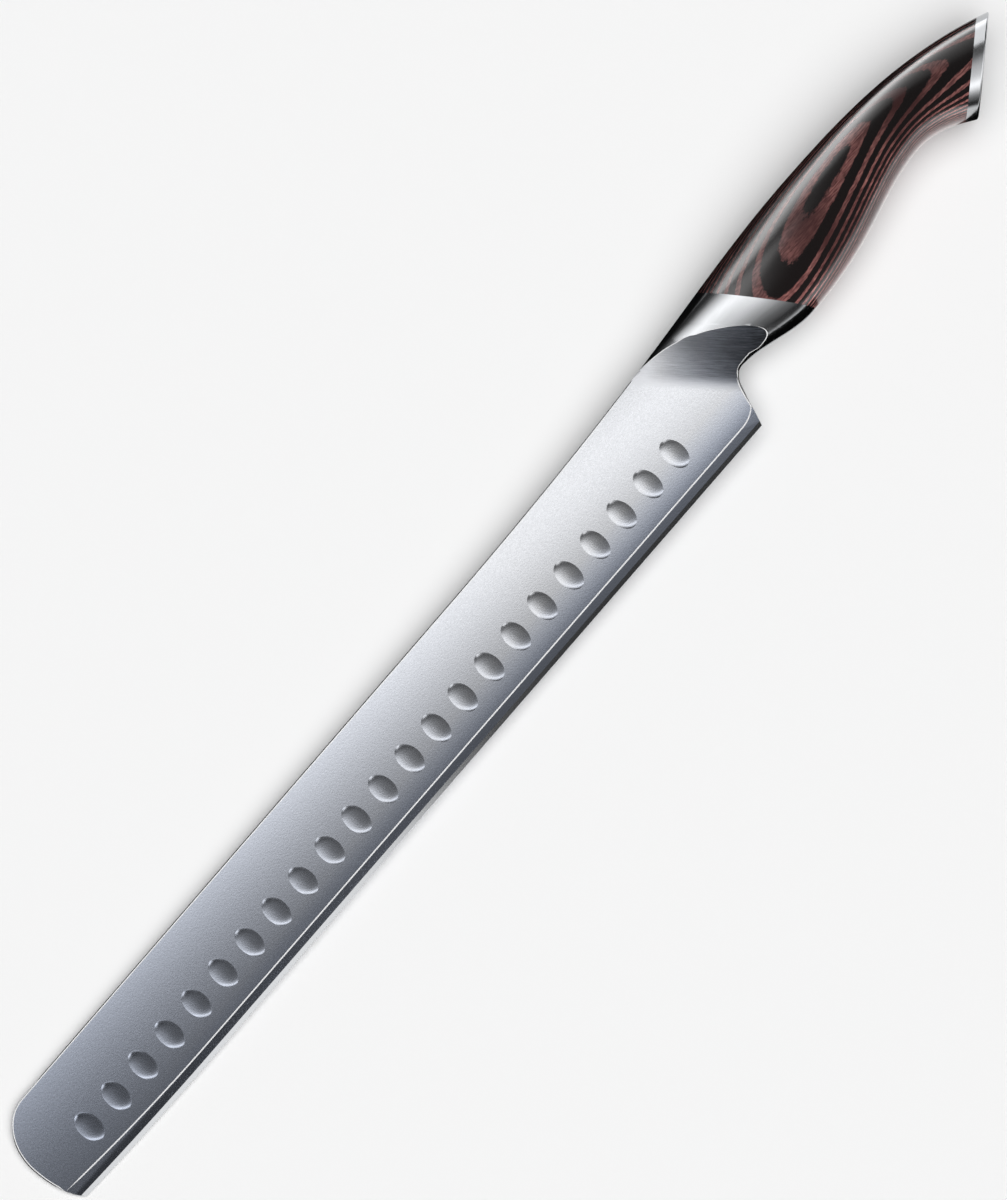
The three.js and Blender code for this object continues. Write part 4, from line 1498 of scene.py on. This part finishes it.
class KNIFE_OT_stage(bpy.types.Operator):
    """Set the floor, the studio light and the camera"""

    bl_idname = "knife.stage"
    bl_label = "Stage"

    def execute(self, context):
        scene = context.scene
        scene.view_settings.view_transform = "Standard"
        self.floor(scene)
        self.world(scene)
        self.lights(scene)
        self.flags(scene)
        self.camera(scene)
        return {"FINISHED"}

    def floor(self, scene):
        bm = bmesh.new()
        radius = scene.knife_stage.floor_radius
        bmesh.ops.create_circle(bm, cap_ends=True, segments=FLOOR_SIDES, radius=radius)
        bmesh.ops.translate(bm, verts=bm.verts, vec=(0, 0, -FLOOR_DROP))
        floor = settle(scene, bm, "floor")
        floor.data.materials.append(pale_floor(scene))

    def world(self, scene):
        """A dim ceiling, paler ahead of the tip, over a pale backdrop that camera and steel see."""
        world = bpy.data.worlds.new("studio")
        scene.world = world
        world.use_nodes = True
        nodes = Nodes(world.node_tree)
        axes = nodes.axes(nodes.add("ShaderNodeTexCoord", {}).outputs["Generated"])
        ahead = nodes.span(axes[0], -0.6, -0.25, 1.0, 0.0, smooth=True)
        back_side = nodes.span(axes[1], -0.7, -0.2, smooth=True)
        high = nodes.span(axes[2], 0.2, 0.6, smooth=True)
        tip_side = nodes.math("MULTIPLY", nodes.math("MULTIPLY", ahead, back_side), high)
        dim = nodes.math("MULTIPLY_ADD", tip_side, CEILING_AHEAD, CEILING)
        rays = nodes.add("ShaderNodeLightPath", {}).outputs
        mirrored = nodes.math("MAXIMUM", rays["Is Glossy Ray"], rays["Is Transmission Ray"])
        low = nodes.span(axes[2], 0.17, 0.5, 1.0, 0.0, smooth=True)
        seen = nodes.math("MAXIMUM", rays["Is Camera Ray"], nodes.math("MULTIPLY", mirrored, low))
        level = nodes.math("MAXIMUM", dim, nodes.math("MULTIPLY", seen, BACKDROP))
        nodes.fill(world.node_tree.nodes["Background"].inputs["Color"], level)

    def lights(self, scene):
        lit = {name: self.receivers(name + "_lit", pieces) for name, pieces in RECEIVERS.items()}
        lamps = [
            (self.card(scene), "steel", "camera"),
            (self.back_card(scene), "wood", "diffuse"),
            (self.palm_card(scene), "wood", "camera"),
            (self.belly_card(scene), "wood", "diffuse"),
        ]
        for name, (place, aim, size, level, receiver, unseen_by) in SOFTBOXES.items():
            lamp = self.softbox(scene, name, Vector(place), Vector(aim), size, level)
            lamps.append((lamp, receiver, unseen_by))
        self.sky(scene, "fill", FILL)
        lamps.append((self.sky(scene, "floor_fill", FLOOR_FILL), "floor", "glossy"))
        for lamp, receiver, unseen_by in lamps:
            lamp.light_linking.receiver_collection = lit[receiver]
            setattr(lamp, "visible_" + unseen_by, False)

    def receivers(self, name, pieces):
        """A collection of the objects that a light reaches."""
        group = bpy.data.collections.new(name)
        for piece in pieces:
            group.objects.link(bpy.data.objects[piece])
        return group

    def sky(self, scene, name, level):
        """Wide, even light from above, which reflections don't show."""
        light = bpy.data.lights.new(name, "SUN")
        light.energy = level
        light.angle = FILL_SPREAD
        lamp = bpy.data.objects.new(name, light)
        lamp.rotation_euler = (FILL_TILT, 0, 0)
        lamp.visible_glossy = False
        scene.collection.objects.link(lamp)
        return lamp

    def softbox(self, scene, name, place, aim, size, level):
        """A rectangular light that the camera doesn't see, turned to its aim."""
        light = bpy.data.lights.new(name, "AREA")
        light.shape = "RECTANGLE"
        light.size, light.size_y = size
        light.energy = level * math.pi * size[0] * size[1]
        lamp = bpy.data.objects.new(name, light)
        lamp.location = place
        lamp.rotation_euler = (place - aim).to_track_quat("Z", "Y").to_euler()
        lamp.visible_camera = False
        scene.collection.objects.link(lamp)
        return lamp

    def sheet(self, scene, name, place):
        """A card that the camera doesn't see, and its paint."""
        bm = bmesh.new()
        patch(bm, place, 1, 1)
        sheet = settle(scene, bm, name)
        sheet.visible_camera = False
        sheet.visible_shadow = False
        paint = Paint("knife_" + name, scene)
        sheet.data.materials.append(paint.material)
        return sheet, paint

    def glow(self, paint, heading, stops):
        """Light that changes along a heading, by stops of the place along it and the radiance there."""
        inputs = {0: paint.spot(), 1: heading}
        along = paint.add("ShaderNodeVectorMath", inputs, operation="DOT_PRODUCT").outputs["Value"]
        low, high = stops[0][0], stops[-1][0]
        peak = max(level for _, level in stops)
        ramp = paint.add("ShaderNodeValToRGB", {"Fac": paint.span(along, low, high)})
        elements = ramp.color_ramp.elements
        for index, (place, level) in enumerate(stops):
            position = (place - low) / (high - low)
            element = elements[index] if index < 2 else elements.new(position)
            element.position = position
            element.color = (level / peak, level / peak, level / peak, 1.0)
        light = paint.add("ShaderNodeEmission", {"Color": ramp.outputs[0], "Strength": peak})
        clear = paint.add("ShaderNodeBsdfTransparent", {})
        both = paint.add("ShaderNodeAddShader", {0: light.outputs[0], 1: clear.outputs[0]})
        paint.fill(paint.tree.nodes["Material Output"].inputs["Surface"], both.outputs[0])

    def card(self, scene):
        """A wide overhead softbox whose light fades out past the knife."""
        stage = scene.knife_stage
        height = stage.card_height
        reach = Vector((math.cos(stage.card_heading), math.sin(stage.card_heading), 0))
        across = Vector((-reach.y, reach.x, 0))
        lift = Vector((0, 0, height))
        stops = []
        for degrees, level in CARD_LEVELS:
            stops.append((math.tan(math.radians(degrees)) * height, level * stage.card_level))
        start, end = stops[0][0], stops[-1][0]

        def place(u, v):
            return reach * (start + (end - start) * u) + across * (2 * v - 1) + lift

        card, paint = self.sheet(scene, "card", place)
        self.glow(paint, reach, stops)
        return card

    def back_card(self, scene):
        """A slanting strip of light behind the grip's back, with one crisp and one soft edge."""
        middle = Vector((0.163, 0.50, 0.35))
        along = Vector((0.496, 0, -0.868))
        across = Vector((0.868, 0, 0.496))

        def place(u, v):
            return middle + along * (0.95 * u - 0.5) + across * (0.82 * v - 0.07)

        card, paint = self.sheet(scene, "back_card", place)
        centre = middle.dot(across)
        self.glow(paint, across, [(centre + reach, level) for reach, level in BACK_LEVELS])
        return card

    def palm_card(self, scene):
        """A softbox low in front of the grip's belly, taller and brighter towards the blade."""

        def place(u, v):
            return Vector((-0.4 + 0.9 * u, -0.45, (0.59 - 0.54 * u) * v))

        card, paint = self.sheet(scene, "palm_card", place)
        self.glow(paint, ALONG_KNIFE, PALM_LEVELS)
        return card

    def belly_card(self, scene):
        """Light on the floor below the grip's belly."""

        def place(u, v):
            return Vector((-0.1 + 0.5 * u, 0.002 - 0.45 * v, ABOVE_FLOOR))

        card, paint = self.sheet(scene, "belly_card", place)
        self.glow(paint, ALONG_KNIFE, BELLY_LEVELS)
        return card

    def flags(self, scene):
        """Dark cards that lean away from the knife's sides, which only reflections show."""
        for name, (start, end, lean) in FLAGS.items():
            foot = Vector((*start, ABOVE_FLOOR))
            along = Vector((*end, ABOVE_FLOOR)) - foot

            def place(u, v, foot=foot, along=along, rise=Vector(lean)):
                return foot + along * u + rise * v

            flag, paint = self.sheet(scene, name + "_flag", place)
            paint.shade(base_color=opaque(FLAG_BLACK), roughness=0.9, specular_ior_level=0.0)
            flag.visible_diffuse = False

    def camera(self, scene):
        stage = scene.knife_stage
        data = bpy.data.cameras.new("camera")
        camera = bpy.data.objects.new("camera", data)
        data.lens = data.sensor_width * stage.camera_distance / stage.picture_height
        camera.rotation_euler = (stage.camera_tilt, 0, stage.camera_heading)
        away = camera.rotation_euler.to_matrix() @ Vector((0, 0, stage.camera_distance))
        camera.location = Vector(stage.aim) + away
        data.clip_end = FAR
        scene.collection.objects.link(camera)
        scene.camera = camera


class KNIFE_PT_sidebar(bpy.types.Panel):
    """Lists the knife's pieces in the sidebar"""

    bl_idname = "KNIFE_PT_sidebar"
    bl_label = "Knife"
    bl_space_type = "VIEW_3D"
    bl_region_type = "UI"
    bl_category = "Knife"

    def draw(self, context):
        for operator in OPERATORS:
            self.layout.operator(operator.bl_idname)


GROUPS = {
    "knife_blade": BladeSizes,
    "knife_handle": HandleSizes,
    "knife_lie": LieAngles,
    "knife_finish": Finishes,
    "knife_stage": StageSettings,
}
OPERATORS = (
    KNIFE_OT_blade,
    KNIFE_OT_bolster,
    KNIFE_OT_grip,
    KNIFE_OT_end_cap,
    KNIFE_OT_hidden,
    KNIFE_OT_stage,
)
CLASSES = (*GROUPS.values(), *OPERATORS, KNIFE_PT_sidebar)


def register():
    for cls in CLASSES:
        bpy.utils.register_class(cls)
    for name, group in GROUPS.items():
        setattr(bpy.types.Scene, name, PointerProperty(type=group))


def unregister():
    for name in GROUPS:
        delattr(bpy.types.Scene, name)
    for cls in reversed(CLASSES):
        bpy.utils.unregister_class(cls)


def main():
    register()
    bpy.ops.knife.blade()
    bpy.ops.knife.bolster()
    bpy.ops.knife.grip()
    bpy.ops.knife.end_cap()
    bpy.ops.knife.hidden()
    bpy.ops.knife.stage()


if __name__ == "__main__":
    main()
